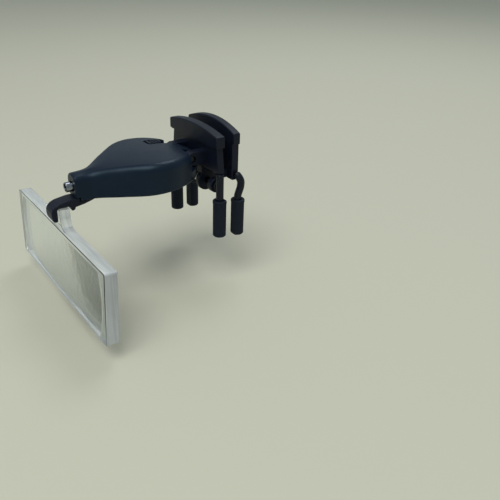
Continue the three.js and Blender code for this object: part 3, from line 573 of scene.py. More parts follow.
def surface(name, colour, other, roughness, grain, bump, blotch=6.0, edge_wear_and_highlight=None, wear_and_highlight_width=0.25,
            metal=0.0, stretch=(1, 1, 1), specular=0.5, specular_tint=(1, 1, 1), coat=0.0):
    """A moulded, painted or metal surface: mottled colour, grain in roughness and bump, lighter edges that
    are wear, and on the shell and black plastic a painted edge highlight as well.

    grain is the grain's size and bump its height, in millimetres. roughness is a low and a high value.
    """
    made, tree, place_at, stretched = start_look(name, stretch)
    blotches = noise(tree, place_at, blotch, 4.0, 0.6)
    grains = noise(tree, stretched, grain, 3.0, 0.55)
    mottle = remap(tree, blotches, *MOTTLE_RANGE, 0.0, 1.0)
    base = mix_colour(tree, mottle, rgba(colour), rgba(other))
    shine = add(tree, "Math", set_operation="ADD", i0=blotches, i1=grains).outputs[0]
    rough = remap(tree, shine, *SHINE_RANGE, *roughness)
    # lighter patchy edges: wear, and on the shell and black plastic also a painted edge highlight
    if edge_wear_and_highlight:
        mask = edge_mask(tree, wear_and_highlight_width)
        patchy = remap(tree, noise(tree, place_at, WEAR_AND_HIGHLIGHT_PATCH, 5.0, 0.7), *WEAR_AND_HIGHLIGHT_RANGE, LEAST_WEAR_AND_HIGHLIGHT, 1.0)
        worn_and_lit = add(tree, "Math", set_operation="MULTIPLY", i0=mask, i1=patchy).outputs[0]
        base = mix_colour(tree, worn_and_lit, base, rgba(edge_wear_and_highlight))
    finish_look(tree, base, rough, grains, bump, {
        "Metallic": metal, "Specular IOR Level": specular, "Specular Tint": rgba(specular_tint),
        "Coat Weight": coat})
    return made


def acrylic(name, tint, roughness, bump, size, stretch, transmission, streak=0.94):
    """Clear moulded acrylic, or its duller cut edge when the roughness is high.

    streak is how bright the darker streaks are beside the tint.
    """
    made, tree, _, stretched = start_look(name, stretch)
    waves = noise(tree, stretched, size, 3.0, 0.5)
    rough = remap(tree, waves, *WAVE_RANGE, *roughness)
    streaks = remap(tree, waves, *STREAK_RANGE, 0.0, 1.0)
    faint = mix_colour(tree, streaks, rgba(tint), rgba([c * streak for c in tint]))
    finish_look(tree, faint, rough, waves, bump, {"IOR": ACRYLIC_IOR, "Transmission Weight": transmission})
    return made


LOOKS = {
    # the shell's lighter blue edge colour is wear and a painted edge highlight
    "shell": surface(
        "shell_plastic", (0.0048, 0.0098, 0.0205), (0.0060, 0.0116, 0.0240), (0.30, 0.42), 0.22, 0.005,
        edge_wear_and_highlight=(0.022, 0.042, 0.068), wear_and_highlight_width=0.5, specular=0.23, specular_tint=(0.60, 0.84, 1.0)),
    # the black plastic's lighter edge colour is wear and a painted edge highlight
    "plastic": surface(
        "black_plastic", (0.0038, 0.0060, 0.0145), (0.0050, 0.0077, 0.0172), (0.36, 0.50), 0.25, 0.006,
        edge_wear_and_highlight=(0.022, 0.033, 0.045), wear_and_highlight_width=0.3, specular=0.20),
    "rubber": surface(
        "sleeve_rubber", (0.0056, 0.0098, 0.0190), (0.0080, 0.0128, 0.0230), (0.60, 0.80), 0.16, 0.012,
        edge_wear_and_highlight=(0.018, 0.026, 0.036), wear_and_highlight_width=0.3, specular=0.18),
    "black_metal": surface(
        "black_metal", (0.0042, 0.0064, 0.0130), (0.0056, 0.0080, 0.0150), (0.34, 0.50), 0.14, 0.003,
        edge_wear_and_highlight=(0.022, 0.030, 0.040), wear_and_highlight_width=0.2, specular=0.22),
    "steel": surface(
        "bright_steel", (0.56, 0.57, 0.59), (0.48, 0.49, 0.51), (0.22, 0.40), 0.35, 0.003,
        metal=1.0, stretch=(0.2, 1, 1), edge_wear_and_highlight=(0.68, 0.69, 0.70)),
    "dark_steel": surface(
        "dark_steel", (0.040, 0.042, 0.047), (0.028, 0.030, 0.034), (0.28, 0.45), 0.35, 0.003,
        metal=1.0, stretch=(0.2, 1, 1), edge_wear_and_highlight=(0.30, 0.31, 0.32), wear_and_highlight_width=0.15),
    "chrome": surface(
        "lamp_chrome", (0.30, 0.32, 0.35), (0.20, 0.22, 0.25), (0.04, 0.12), 0.3, 0.0015,
        metal=1.0, edge_wear_and_highlight=(0.85, 0.87, 0.90), wear_and_highlight_width=0.14),
    "board": surface(
        "board_mask", (0.012, 0.10, 0.035), (0.02, 0.14, 0.05), (0.30, 0.45), 0.5, 0.006,
        blotch=1.2, edge_wear_and_highlight=(0.35, 0.33, 0.22), wear_and_highlight_width=0.1, coat=0.3),
    "red": surface("red_insulation", (0.36, 0.015, 0.012), (0.42, 0.02, 0.015), (0.40, 0.55), 0.15, 0.004),
    "black_wire": surface(
        "black_insulation", (0.012, 0.012, 0.013), (0.018, 0.018, 0.02), (0.40, 0.55), 0.15, 0.004),
    "brass": surface(
        "contact_brass", (0.72, 0.52, 0.22), (0.60, 0.42, 0.17), (0.20, 0.38), 0.3, 0.002,
        metal=1.0, stretch=(1, 0.15, 1)),
    "clear": acrylic("clear_acrylic", (0.93, 0.98, 1.0), (0.01, 0.04), 0.012, 2.4, (1, 1, 0.7), 1.0),
    "edge": acrylic(
        "acrylic_edge", (0.97, 1.0, 1.0), (0.04, 0.22), 0.05, 0.9, (0.08, 1, 0.04), 0.62, streak=0.80),
    "resin": acrylic("lamp_resin", (0.95, 0.95, 0.90), (0.02, 0.08), 0.01, 0.8, (1, 1, 1), 0.9),
}


# ---- Housing form ----
def housing_at(y):
    """Half width, bottom and top of the housing, on the cubic line through its stations."""
    last = len(HOUSING_STATIONS) - 1
    i = 1
    while i < last and y > HOUSING_STATIONS[i][0]:
        i += 1
    before = HOUSING_STATIONS[i - 2] if i > 1 else HOUSING_STATIONS[i]
    start, end = HOUSING_STATIONS[i - 1], HOUSING_STATIONS[i]
    after = HOUSING_STATIONS[i + 1] if i < last else start
    half_step = (end[0] - start[0]) / 2
    w0 = half_step / (start[0] - before[0])
    w1 = half_step / (after[0] - end[0])
    p = (y - start[0]) / (end[0] - start[0])
    s_before = -w0 * p ** 3 + 2 * w0 * p ** 2 - w0 * p
    s_start = (1 + w0) * p ** 3 + (-1.5 - 2 * w0) * p ** 2 + (-0.5 + w0) * p + 1
    s_end = (-1 - w1) * p ** 3 + (1.5 + w1) * p ** 2 + 0.5 * p
    s_after = w1 * p ** 3 - w1 * p ** 2
    return [
        s_before * before[k] + s_start * start[k] + s_end * end[k] + s_after * after[k]
        for k in (1, 2, 3)
    ]


def housing_section(half, bottom, top, top_edge, low_edge, crown_steps=6):
    """The housing's outline across: rounded lower and upper edges, and a slightly crowned top."""
    edge = min(top_edge, half * TOP_EDGE_SHARE)
    points = arc(half - low_edge, bottom + low_edge, low_edge, -90, 0, 3)
    points += arc(half - edge, top - edge, edge, 0, 90, 10)
    for step in range(1, 2 * crown_steps):
        part = 1 - step / crown_steps
        points.append((part * (half - edge), top + CROWN * (1 - part * part)))
    points += arc(-half + edge, top - edge, edge, 90, 180, 10)
    points += arc(-half + low_edge, bottom + low_edge, low_edge, 180, 270, 3)
    return points


def housing_loft(name, front, back, steps, drawn_in=0.0, low=0.0, high=None, ends=0.0, end_steps=5):
    """The housing's form between two places along it.

    drawn_in narrows it, low lifts its bottom, high makes it a slab and ends rounds its end faces.
    """
    places = [front + ends + (back - front - 2 * ends) * i / steps for i in range(steps + 1)]
    rows = [(y, 0.0) for y in places]
    if ends:
        turn = [math.pi / 2 * k / end_steps for k in range(end_steps)]
        nose = [(front + ends * (1 - math.cos(a)), ends * (1 - math.sin(a))) for a in turn]
        rows = nose + rows + [(back + front - y, amount) for y, amount in nose[::-1]]
    rings = []
    for y, shrink in rows:
        half, bottom, top = housing_at(y)
        total = drawn_in + shrink
        if high is None:
            section = housing_section(half - total, bottom + low + shrink, top - total,
                                      max(TOP_EDGE - drawn_in, LEAST_TOP_EDGE), LOW_EDGE)
        else:
            section = housing_section(half - total, bottom + low, bottom + high, BASE_EDGE, BASE_EDGE)
        rings.append([(x, y, z) for x, z in section])
    return skin(name, rings)


def screw_post(x, y):
    _, bottom, top = housing_at(y)
    return bar("post", bottom + BASE_THICKNESS + GAP, top - POST_SINK, POST_RADIUS, "z", (x, y))


def pilot_hole(x, y):
    _, bottom, _ = housing_at(y)
    return bar("pilot", bottom - 1, bottom + SCREW_HEAD_HEIGHT + SCREW_LENGTH + GAP,
               SCREW_SHANK + PIN_PLAY, "z", (x, y), sides=24)


def flip_bore():
    return bar("bore", -FLIP_REACH, FLIP_REACH, FLIP_PIN_RADIUS + PIN_PLAY, "x", FLIP)


def build_shell():
    shell = housing_loft("shell", NOSE_Y, TAIL_Y, 96, ends=SHELL_ENDS)
    cut(shell, housing_loft("cavity", CAVITY_FRONT, CAVITY_BACK, 64, SHELL_WALL, CAVITY_BELOW))
    cut(shell, box("chin", (-CHIN_HALF, NOSE_Y - 1, BELOW), (CHIN_HALF, CHIN_BACK, CHIN_TOP)))
    notch_front = FLIP_Y - LUG_RADIUS - GAP
    notch_low = FLIP_Z - LUG_RADIUS - GAP
    for x0, x1 in ((LUG_INNER - GAP, OUTSIDE), (-OUTSIDE, GAP - LUG_INNER)):
        cut(shell, box("notch", (x0, notch_front, notch_low), (x1, 0, ABOVE)))
    for x, y in [FRONT_SCREW, *REAR_SCREWS]:
        join(shell, screw_post(x, y))
        cut(shell, pilot_hole(x, y))
    cut(shell, bar("lamp_hole", NOSE_Y - 1, CAVITY_FRONT + 1, BEZEL_OUTER + PIN_PLAY, "y", (0, LAMP_Z)))
    slot = rounded_pad(SWITCH_X, SWITCH_Y, SLOT_HALF, SLOT_CORNER)
    cut(shell, prism("slot", slot, SLOT_BOTTOM, SLOT_TOP, "z"))
    cut(shell, flip_bore())
    place(shell, "lamp_housing", "housing_shell", "shell", 30)


def base_slab(name):
    return housing_loft(name, BASE_FRONT, CAVITY_BACK - GAP, 40, SHELL_WALL + GAP, 0.0, BASE_THICKNESS)


def door_outline(drawn_in):
    half = DOOR_HALF - drawn_in
    return rounded_rect(-half, DOOR_FRONT + drawn_in, half, DOOR_BACK - drawn_in, DOOR_CORNER - drawn_in)


DOOR_SEAT = housing_at(DOOR_BACK)[1] + DOOR_THICKNESS + SEAT_PLAY


def build_base():
    base = base_slab("base")
    screw_at = (0, DOOR_SCREW_Y)
    cut(base, prism("door_recess", door_outline(0), BELOW, DOOR_SEAT, "z"))
    cut(base, bar("cell_hole", BELOW, ABOVE_BASE, CELL_RADIUS + CELL_PLAY, "z", (0, CELL_Y), sides=96))
    join(base, bar("post", DOOR_SEAT, DOOR_POST_TOP, POST_RADIUS, "z", screw_at))
    cut(base, bar("pilot", BELOW, DOOR_PILOT_TOP, SCREW_SHANK + PIN_PLAY, "z", screw_at, sides=24))
    for x, y in REAR_SCREWS:
        cut(base, pilot_hole(x, y))
        seat = housing_at(y)[1] + SCREW_HEAD_HEIGHT + SEAT_PLAY
        cut(base, bar("seat", BELOW, seat, SCREW_HEAD + PIN_PLAY, "z", (x, y)))
    place(base, "lamp_housing", "housing_base", "plastic", flats=True)


def build_door():
    screw_at = (0, DOOR_SCREW_Y)
    panel = prism("panel", door_outline(GAP), BELOW, DOOR_SEAT - GAP / 2, "z")
    door = keep_inside(base_slab("door"), panel)
    seat = housing_at(DOOR_SCREW_Y)[1] + DOOR_SCREW_SEAT
    cut(door, bar("hole", BELOW, ABOVE_BASE, SCREW_SHANK + PIN_PLAY, "z", screw_at, sides=24))
    cut(door, bar("seat", BELOW, seat, SCREW_HEAD + PIN_PLAY, "z", screw_at))
    place(door, "battery_cover", "battery_door", "plastic", flats=True)


# ---- Screws ----
def build_screw(node, body, x, y, low, head_height, length):
    """A small cross-head screw whose head is down. low is the height of its head's face."""
    top = low + head_height
    edge = 0.07
    profile = [(0, low), (SCREW_HEAD - 0.25, low), (SCREW_HEAD - edge, low + edge),
               (SCREW_HEAD, low + 0.25 * head_height + 0.1), (SCREW_HEAD, top), (SCREW_SHANK, top)]
    root = SCREW_SHANK - THREAD_DEPTH
    thread = top + 2 * THREAD_RISE
    while thread < top + length - 4 * THREAD_RISE:
        profile += [(root, thread), (SCREW_SHANK, thread + THREAD_RISE), (root, thread + 2 * THREAD_RISE)]
        thread += THREAD_PITCH
    profile += [(SCREW_SHANK - 0.15, top + length - 0.4), (0, top + length)]
    made = lathe("screw", profile, "z", (x, y), 40)
    depth = low + head_height * CROSS_DEPTH
    for across, along in ((CROSS_LENGTH, CROSS_WIDTH), (CROSS_WIDTH, CROSS_LENGTH)):
        cut(made, box("cross", (x - across, y - along, low - 1), (x + across, y + along, depth)))
    place(made, body, node, "steel")


def build_screws():
    names = ["case_screw_front", "case_screw_rear_left", "case_screw_rear_right"]
    for node, (x, y) in zip(names, [FRONT_SCREW, *REAR_SCREWS]):
        low = housing_at(y)[1] + CASE_SCREW_SINK
        build_screw(node, "lamp_housing", x, y, low, SCREW_HEAD_HEIGHT - 0.25, SCREW_LENGTH - 0.2)
    low = housing_at(DOOR_SCREW_Y)[1] - DOOR_SCREW_DROP
    build_screw("battery_door_screw", "battery_cover", 0, DOOR_SCREW_Y, low,
                DOOR_SCREW_HEAD, DOOR_SCREW_LENGTH)


# ---- Clip ----
def tab_outline(ear, side, ear_top, crown, bottom, foot, foot_top):
    """A finger tab from its foot up to its ears and arched top. ear, side and foot are half widths."""
    rise = crown - ear_top
    radius = (ear ** 2 + rise ** 2) / (2 * rise)
    spread = math.degrees(math.asin(ear / radius))
    crown_arc = arc(0, crown - radius, radius, 90 - spread, 90 + spread, 28)
    corners = [(-foot, bottom), (foot, bottom), (foot, foot_top), (side, EAR_BOTTOM), (ear, EAR_BOTTOM)]
    radii = [0.0, 0.0, SIDE_CORNER, SIDE_CORNER, 0.0]
    mirrored = [(-u, v) for u, v in corners[:1:-1]]
    crown_radii = [CROWN_CORNER] + [0.0] * (len(crown_arc) - 2) + [CROWN_CORNER]
    return fillet(corners + crown_arc + mirrored, radii + crown_radii + radii[:1:-1])


def pivot_bore():
    return bar("bore", -PIVOT_PIN_HALF, PIVOT_PIN_HALF, PIVOT_PIN_RADIUS + PIN_PLAY, "x", PIVOT)


def mirrored_prism(name, outline, inner, outer, side, rounding):
    """A plate across X on one side of the middle."""
    low, high = (inner, outer) if side > 0 else (-outer, -inner)
    return prism(name, outline, low, high, "x", rounding)


def front_lip():
    """The thicker top of the front tab, from its ears up, with a soft lower edge."""
    back = FRONT_PLATE[1] - PLATE_ROUNDING
    tab = prism("lip", tab_outline(**FRONT_TAB), FRONT_LIP, back, "y", PLATE_ROUNDING)
    keep = [(-OUTSIDE, EAR_BOTTOM), (OUTSIDE, EAR_BOTTOM), (OUTSIDE, ABOVE), (-OUTSIDE, ABOVE)]
    lip = keep_inside(tab, prism("keep", keep, FRONT_LIP - 1, back - PLATE_ROUNDING, "y"))
    return chamfer(lip, LIP_CHAMFER)


def ear_arc(ear, steps):
    return arc(*PIVOT, ear["radius"], ear["start"], ear["end"], steps)


def pivot_ear(ear, outline, side):
    return mirrored_prism("ear", outline, ear["inner"], ear["outer"], side, ear["rounding"])


def build_front_plate():
    front, back = FRONT_PLATE
    plate = prism("front_plate", tab_outline(**FRONT_TAB), front, back, "y", PLATE_ROUNDING)
    join(plate, front_lip())
    bottom = FRONT_TAB["bottom"]
    top = bottom + 1
    join(plate, box("skirt", (-SKIRT_HALF, SKIRT_FRONT, SKIRT_BOTTOM), (SKIRT_HALF, SKIRT_BACK, top)))
    ear = [(front, top), (back, top)] + ear_arc(FRONT_EAR, 44)
    lug_root = back - 1
    lug = [(lug_root, FLIP_Z - LUG_RADIUS), (lug_root, FLIP_Z + LUG_RADIUS)]
    lug += arc(*FLIP, LUG_RADIUS, 90, 270, 24)
    for side in (-1, 1):
        join(plate, pivot_ear(FRONT_EAR, ear, side))
        join(plate, mirrored_prism("lug", lug, LUG_INNER, LUG_OUTER, side, LUG_ROUNDING))
        cut(plate, bar("socket", bottom - 1, bottom + FRONT_SPIGOT + GAP, SPIGOT_RADIUS + PIN_PLAY, "z",
                       (side * FRONT_SPIGOT_X, FRONT_SPIGOT_Y), sides=32))
    cut(plate, pivot_bore())
    cut(plate, flip_bore())
    place(plate, "front_jaw", "front_jaw_plate", "plastic", flats=True)


def build_rear_plate():
    front, back = REAR_PLATE
    plate = prism("rear_plate", tab_outline(**REAR_TAB), front, back, "y", PLATE_ROUNDING)
    root = front + 1
    ear = [(root, REAR_ARM_BOTTOM), (root, REAR_ARM_TOP), (REAR_ARM_FRONT, REAR_ARM_TOP)]
    ear += ear_arc(REAR_EAR, 36) + [(REAR_ARM_BACK, REAR_ARM_BOTTOM)]
    half = REAR_TAB["side"]
    for side in (-1, 1):
        join(plate, pivot_ear(REAR_EAR, ear, side))
        low, high = sorted((side * (half - REAR_SPIGOT - GAP), side * (half + 1)))
        cut(plate, bar("socket", low, high, SPIGOT_RADIUS + PIN_PLAY, "x",
                       (REAR_PRONG_Y, REAR_PRONG_Z), sides=32))
    cut(plate, pivot_bore())
    cut(plate, bar("hole", front - 1, back + 1, TAB_HOLE_RADIUS, "y", (0, TAB_HOLE_Z)))
    place(plate, "rear_jaw", "rear_jaw_plate", "plastic", flats=True)


def build_front_prong(word, side):
    """A straight rod with an offset spigot that is set in the front plate."""
    shoulder = FRONT_TAB["bottom"] - GAP
    tip = FRONT_TAB["bottom"] + FRONT_SPIGOT
    end = FRONT_SLEEVE[0] + SLEEVE_FLOOR + GAP
    profile = [(0, end), *rounded_foot(PRONG_RADIUS, end, PRONG_TIP_ROUNDING),
               (PRONG_RADIUS, shoulder - SHOULDER_CHAMFER), (PRONG_RADIUS - SHOULDER_CHAMFER, shoulder),
               (0, shoulder)]
    prong = lathe("prong", profile, "z", (side * FRONT_PRONG_X, FRONT_PRONG_Y))
    join(prong, bar("spigot", shoulder - 1, tip, SPIGOT_RADIUS, "z",
                    (side * FRONT_SPIGOT_X, FRONT_SPIGOT_Y), SPIGOT_ROUNDING))
    place(prong, "front_jaw", "front_prong_" + word, "black_metal")


def build_rear_prong(word, side):
    """A bent rod: out of the rear plate's side, then down behind the spectacle lens."""
    start = REAR_TAB["side"] + 2 * GAP
    x, y, z, high = REAR_PRONG_X, REAR_PRONG_Y, REAR_PRONG_Z, REAR_SLEEVE[1]
    bend = [(x + out, y + back, z - down) for out, back, down in REAR_BEND]
    route = [(start, y, z), (start + ROD_STUB, y, z), *bend, (x, y, high + BEND_END), (x, y, high + ROD_END)]
    rod = tube("rod", catmull([(side * px, py, pz) for px, py, pz in route], 8), PRONG_RADIUS, 32)
    end = REAR_SLEEVE[0] + SLEEVE_FLOOR + GAP
    shank = bar("shank", end, high + SHANK_TOP, PRONG_RADIUS, "z", (side * x, y), PRONG_TIP_ROUNDING)
    inner, outer = sorted((side * (REAR_TAB["side"] - REAR_SPIGOT), side * (start + ROD_STUB)))
    spigot = bar("spigot", inner, outer, SPIGOT_RADIUS, "x", (y, z), SPIGOT_ROUNDING)
    join(rod, shank, spigot)
    place(rod, "rear_jaw", "rear_prong_" + word, "black_metal")


def build_sleeve(node, body, x, y, low, high, flat):
    """A rubber tube, closed below, with a rolled rim and a flat on the side of the spectacle lens."""
    bore = PRONG_RADIUS + SLEEVE_PLAY
    rim = [(SLEEVE_RADIUS + out, high - below) for out, below in SLEEVE_RIM]
    profile = [(0, low), *rounded_foot(SLEEVE_RADIUS, low, SLEEVE_FOOT, 5), *rim, (bore + 0.12, high),
               (bore, high - 0.15), (bore, low + SLEEVE_FLOOR), (0, low + SLEEVE_FLOOR)]
    sleeve = lathe("sleeve", profile, "z", (x, y), 56)
    inward = -math.copysign(1, y)
    near, far = sorted((y + inward * flat, y + inward * (flat + 2)))
    cut(sleeve, box("flat", (x - 3, near, low - 1), (x + 3, far, high + 1)))
    place(sleeve, body, node, "rubber")


def build_pins():
    pin = bar("pin", -PIVOT_PIN_HALF, PIVOT_PIN_HALF, PIVOT_PIN_RADIUS, "x", PIVOT, PIVOT_PIN_ROUNDING)
    for side in (-1, 1):
        head = [(radius, side * (PIN_HEAD_X + out)) for radius, out in PIN_HEAD]
        join(pin, lathe("head", head, "x", PIVOT))
    place(pin, "front_jaw", "clip_pin", "dark_steel")
    flip = bar("flip", -FLIP_PIN_HALF, FLIP_PIN_HALF, FLIP_PIN_RADIUS, "x", FLIP, FLIP_PIN_ROUNDING)
    place(flip, "front_jaw", "flip_pin", "dark_steel")


def build_spring():
    """The clip's torsion spring: a coil round the pivot pin and a leg up behind each plate."""
    wire, coil, half, turns = 0.35, 1.8, 2.2, 4
    front_y = FRONT_PLATE[1] + GAP + wire
    rear_y = REAR_PLATE[0] - GAP - wire
    line = [(-half, front_y, z) for z in SPRING_FRONT_LEG]
    steps = turns * 36 + 18
    for i in range(steps + 1):
        angle = math.pi * (2 * turns + 1) * i / steps
        across = half * (2 * i / steps - 1)
        line.append((across, PIVOT_Y - coil * math.cos(angle), PIVOT_Z - coil * math.sin(angle)))
    line += [(half, rear_y, z) for z in SPRING_REAR_LEG]
    spring = tube("spring", soften(line, 2), wire, 12)
    spring.data.transform(Matrix.Scale(MM, 4))
    shade(spring, "steel")
    spring.name = "clip_spring_look"
    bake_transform(spring)
    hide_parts("clip_spring")


def build_clip():
    build_front_plate()
    build_rear_plate()
    for word, side in (("left", 1), ("right", -1)):
        build_front_prong(word, side)
        build_rear_prong(word, side)
        build_sleeve("front_grip_sleeve_" + word, "front_jaw",
                     side * FRONT_PRONG_X, FRONT_PRONG_Y, *FRONT_SLEEVE)
        build_sleeve("rear_grip_sleeve_" + word, "rear_jaw",
                     side * REAR_PRONG_X, REAR_PRONG_Y, *REAR_SLEEVE)
    build_pins()
    build_spring()


# ---- Lens carrier, lamp and inner parts ----
HOOK_OUTLINE = [
    (-50.6, 15.2), (-53.7, 15.1), (-57.6, 14.5), (-59.1, 13.9), (-60.1, 13.0), (-60.6, 11.9), (-60.6, 10.2),
    (-60.3, 8.8), (-59.6, 8.3), (-58.7, 8.6), (-58.6, 12.9), (-53.9, 12.9), (-53.8, 11.1), (-52.6, 11.4),
    (-52.1, 13.2), (-50.6, 13.7),
]
CARRIER_WEDGE = [
    (-52.5, 12.3), (-49.3, 12.8), (-47.4, 13.3), (-46.0, 13.7), (-46.0, 13.85), (-50.6, 13.7), (-52.3, 13.5),
]


def build_carrier():
    hook = fillet(HOOK_OUTLINE, HOOK_CORNER, 4)
    carrier = prism("carrier", hook, -CARRIER_HALF, CARRIER_HALF, "x", CARRIER_ROUNDING)
    wedge_half = CARRIER_HALF - WEDGE_INSET
    join(carrier, prism("wedge", CARRIER_WEDGE, -wedge_half, wedge_half, "x"))
    bottom = housing_at(FRONT_SCREW[1])[1]
    back = BASE_FRONT - GAP
    top = bottom + BASE_THICKNESS
    tongue = [(-50.8, 13.0), (-46.0, 13.6), (back, bottom + 0.35), (back, top), (-48.0, top), (-50.8, 15.1)]
    tongue = fillet(tongue, TONGUE_CORNER, 2)
    join(carrier, prism("tongue", tongue, -TONGUE_HALF, TONGUE_HALF, "x", TONGUE_ROUNDING))
    cut(carrier, bar("hole", BELOW, top + 1, SCREW_SHANK + PIN_PLAY, "z", FRONT_SCREW, sides=24))
    cut(carrier, bar("seat", BELOW, bottom + SCREW_HEAD_HEIGHT, SCREW_HEAD + SEAT_PLAY, "z", FRONT_SCREW))
    place(carrier, "lamp_housing", "lens_carrier", "plastic", flats=True)


def build_lamp(steps=10):
    at = (0, LAMP_Z)
    rim = 0.5 * (BEZEL_OUTER - BEZEL_INNER)
    middle = (BEZEL_OUTER + BEZEL_INNER) / 2
    lip = [(middle + rim * math.cos(a), LAMP_FRONT + rim * (1 - math.sin(a)))
           for a in (math.pi * (1 - k / steps) for k in range(steps + 1))]
    profile = [(BEZEL_INNER, LAMP_BACK), *lip, (BEZEL_OUTER, LAMP_BACK)]
    bezel = lathe("bezel", profile, "y", at, 64, closed=True)
    place(bezel, "lamp_housing", "led_bezel", "chrome")
    centre = LAMP_FRONT + LED_SET_IN + LED_RADIUS
    back = LAMP_BACK + LED_BACK
    dome = [(LED_RADIUS * math.sin(a), centre - LED_RADIUS * math.cos(a))
            for a in (math.pi / 2 * k / steps for k in range(steps + 1))]
    led = lathe("led", [*dome, (LED_RADIUS, back), (0, back)], "y", at)
    for x in (-LEAD_X, LEAD_X):
        join(led, box("lead", (x - LEAD_HALF, LAMP_BACK, LAMP_Z - LEAD_HALF),
                      (x + LEAD_HALF, LAMP_BACK + LEAD_LENGTH, LAMP_Z + LEAD_HALF)))
    place(led, "lamp_housing", "led", "resin")


def build_cells():
    for level, node in enumerate(("coin_cell_lower", "coin_cell_upper")):
        low = CELL_BOTTOM + level * (CELL_THICKNESS + GAP)
        top = low + CELL_THICKNESS
        low_rim = [(CELL_RADIUS - inward, low + up) for inward, up in CELL_LOW_RIM]
        top_rim = [(CELL_RADIUS - inward, top - down) for inward, down in CELL_TOP_RIM]
        cell = lathe("cell", [(0, low), *low_rim, *top_rim, (0, top)], "z", (0, CELL_Y), 96)
        place(cell, "lamp_housing", node, "steel")


def strip(name, line, x0, x1, thickness=CONTACT_THICKNESS):
    """A bent strip of sheet metal whose middle line is in the YZ plane."""
    upper, lower = [], []
    for i, point in enumerate(line):
        ahead = Vector(line[min(i + 1, len(line) - 1)]) - Vector(line[max(i - 1, 0)])
        normal = Vector((-ahead.y, ahead.x)).normalized() * thickness / 2
        upper.append(tuple(Vector(point) + normal))
        lower.append(tuple(Vector(point) - normal))
    return prism(name, lower + upper[::-1], x0, x1, "x")


def build_contacts():
    """A leaf from the upper cell to the board, and one under the lower cell with a riser beside it."""
    cell_top = CELL_BOTTOM + 2 * CELL_THICKNESS + GAP
    board_top = BOARD_BOTTOM + BOARD_THICKNESS
    line = [(CELL_Y - 3, cell_top + 0.45), (CELL_Y + 5, cell_top + 0.45), (BOARD_FRONT - 0.1, cell_top + 0.4),
            (BOARD_FRONT + 1.6, board_top + 0.42)]
    positive = chamfer(strip("positive", line, 1.5, 5.5), CONTACT_CHAMFER)
    place(positive, "lamp_housing", "battery_contact_positive", "brass")
    low = CELL_BOTTOM - GAP - CONTACT_THICKNESS / 2
    front, back = CELL_Y - 1.5, CELL_Y + 1.5
    leaf = box("negative", (-4.0, front, low), (CONTACT_RIGHT, back, low + CONTACT_THICKNESS))
    join(leaf, box("riser", (CONTACT_RIGHT - CONTACT_THICKNESS, front, low),
                   (CONTACT_RIGHT, back, BOARD_BOTTOM + 0.4)))
    place(leaf, "lamp_housing", "battery_contact_negative", "brass")


def build_circuit():
    outline = rounded_rect(-BOARD_HALF, BOARD_FRONT, BOARD_HALF, BOARD_BACK, BOARD_CORNER)
    top = BOARD_BOTTOM + BOARD_THICKNESS
    board = prism("board", outline, BOARD_BOTTOM, top, "z", BOARD_ROUNDING, 2)
    place(board, "lamp_housing", "circuit_board", "board")
    low = top + GAP
    half_x, half_y = SWITCH_HALF
    can = box("can", (SWITCH_X - half_x, SWITCH_Y - half_y, low),
              (SWITCH_X + half_x, SWITCH_Y + half_y, low + SWITCH_HEIGHT), SWITCH_ROUNDING)
    place(can, "lamp_housing", "switch_body", "steel")
    for node, side, slot, look in (("led_wire_red", 1, "red_insulation", "red"),
                                   ("led_wire_black", -1, "black_plastic", "black_wire")):
        wire = tube("wire", catmull([(side * x, y, z) for x, y, z in WIRE_ROUTE], 8), WIRE_RADIUS, 16)
        place(wire, "lamp_housing", node, look)


def build_knob():
    low = BOARD_BOTTOM + BOARD_THICKNESS + SWITCH_HEIGHT + 2 * GAP
    top = housing_at(SWITCH_Y)[2] + KNOB_PROUD
    y = SWITCH_Y - KNOB_TRAVEL / 2
    stem = rounded_pad(SWITCH_X, y, KNOB_HALF, KNOB_CORNER, 4)
    knob = prism("knob", stem, low, top, "z", KNOB_ROUNDING, 3)
    join(knob, box("flange", (SWITCH_X, y - KNOB_HALF[1], low),
                   (SWITCH_X + SLOT_HALF[0] + 1, y + KNOB_HALF[1] - 1, low + FLANGE_THICKNESS)))
    for shift in GROOVES:
        cut(knob, bar("groove", SWITCH_X - 3, SWITCH_X + 3, GROOVE_RADIUS, "x",
                      (y + shift, top - GROOVE_SINK), sides=24))
    place(knob, "switch", "switch_knob", "plastic")


# ---- Lens ----
def lens_zone():
    """What the lens's front is hollowed by: a shallow dome inside the flat rim."""
    middle, front = -LENS_HEIGHT / 2, -LENS_THICKNESS / 2
    back = front + ZONE_DEPTH
    window = box("window", (-ZONE_RADIUS, front - 3, ZONE_MARGIN - LENS_HEIGHT),
                 (ZONE_RADIUS, back, -ZONE_MARGIN))
    zone = keep_inside(window, bar("zone", front - 4, front + 4, ZONE_RADIUS, "y", (0, middle), sides=160))
    radius = (ZONE_RADIUS ** 2 + ZONE_DEPTH ** 2) / (2 * ZONE_DEPTH)
    places = [ZONE_RADIUS * i / DOME_STEPS for i in range(DOME_STEPS + 1)]
    dome = [(r, front + radius - math.sqrt(radius ** 2 - r ** 2)) for r in places]
    dome += [(ZONE_RADIUS + 1, back), (ZONE_RADIUS + 1, back + 1), (0, back + 1)]
    return cut(zone, lathe("dome", dome, "y", (0, middle), 128))


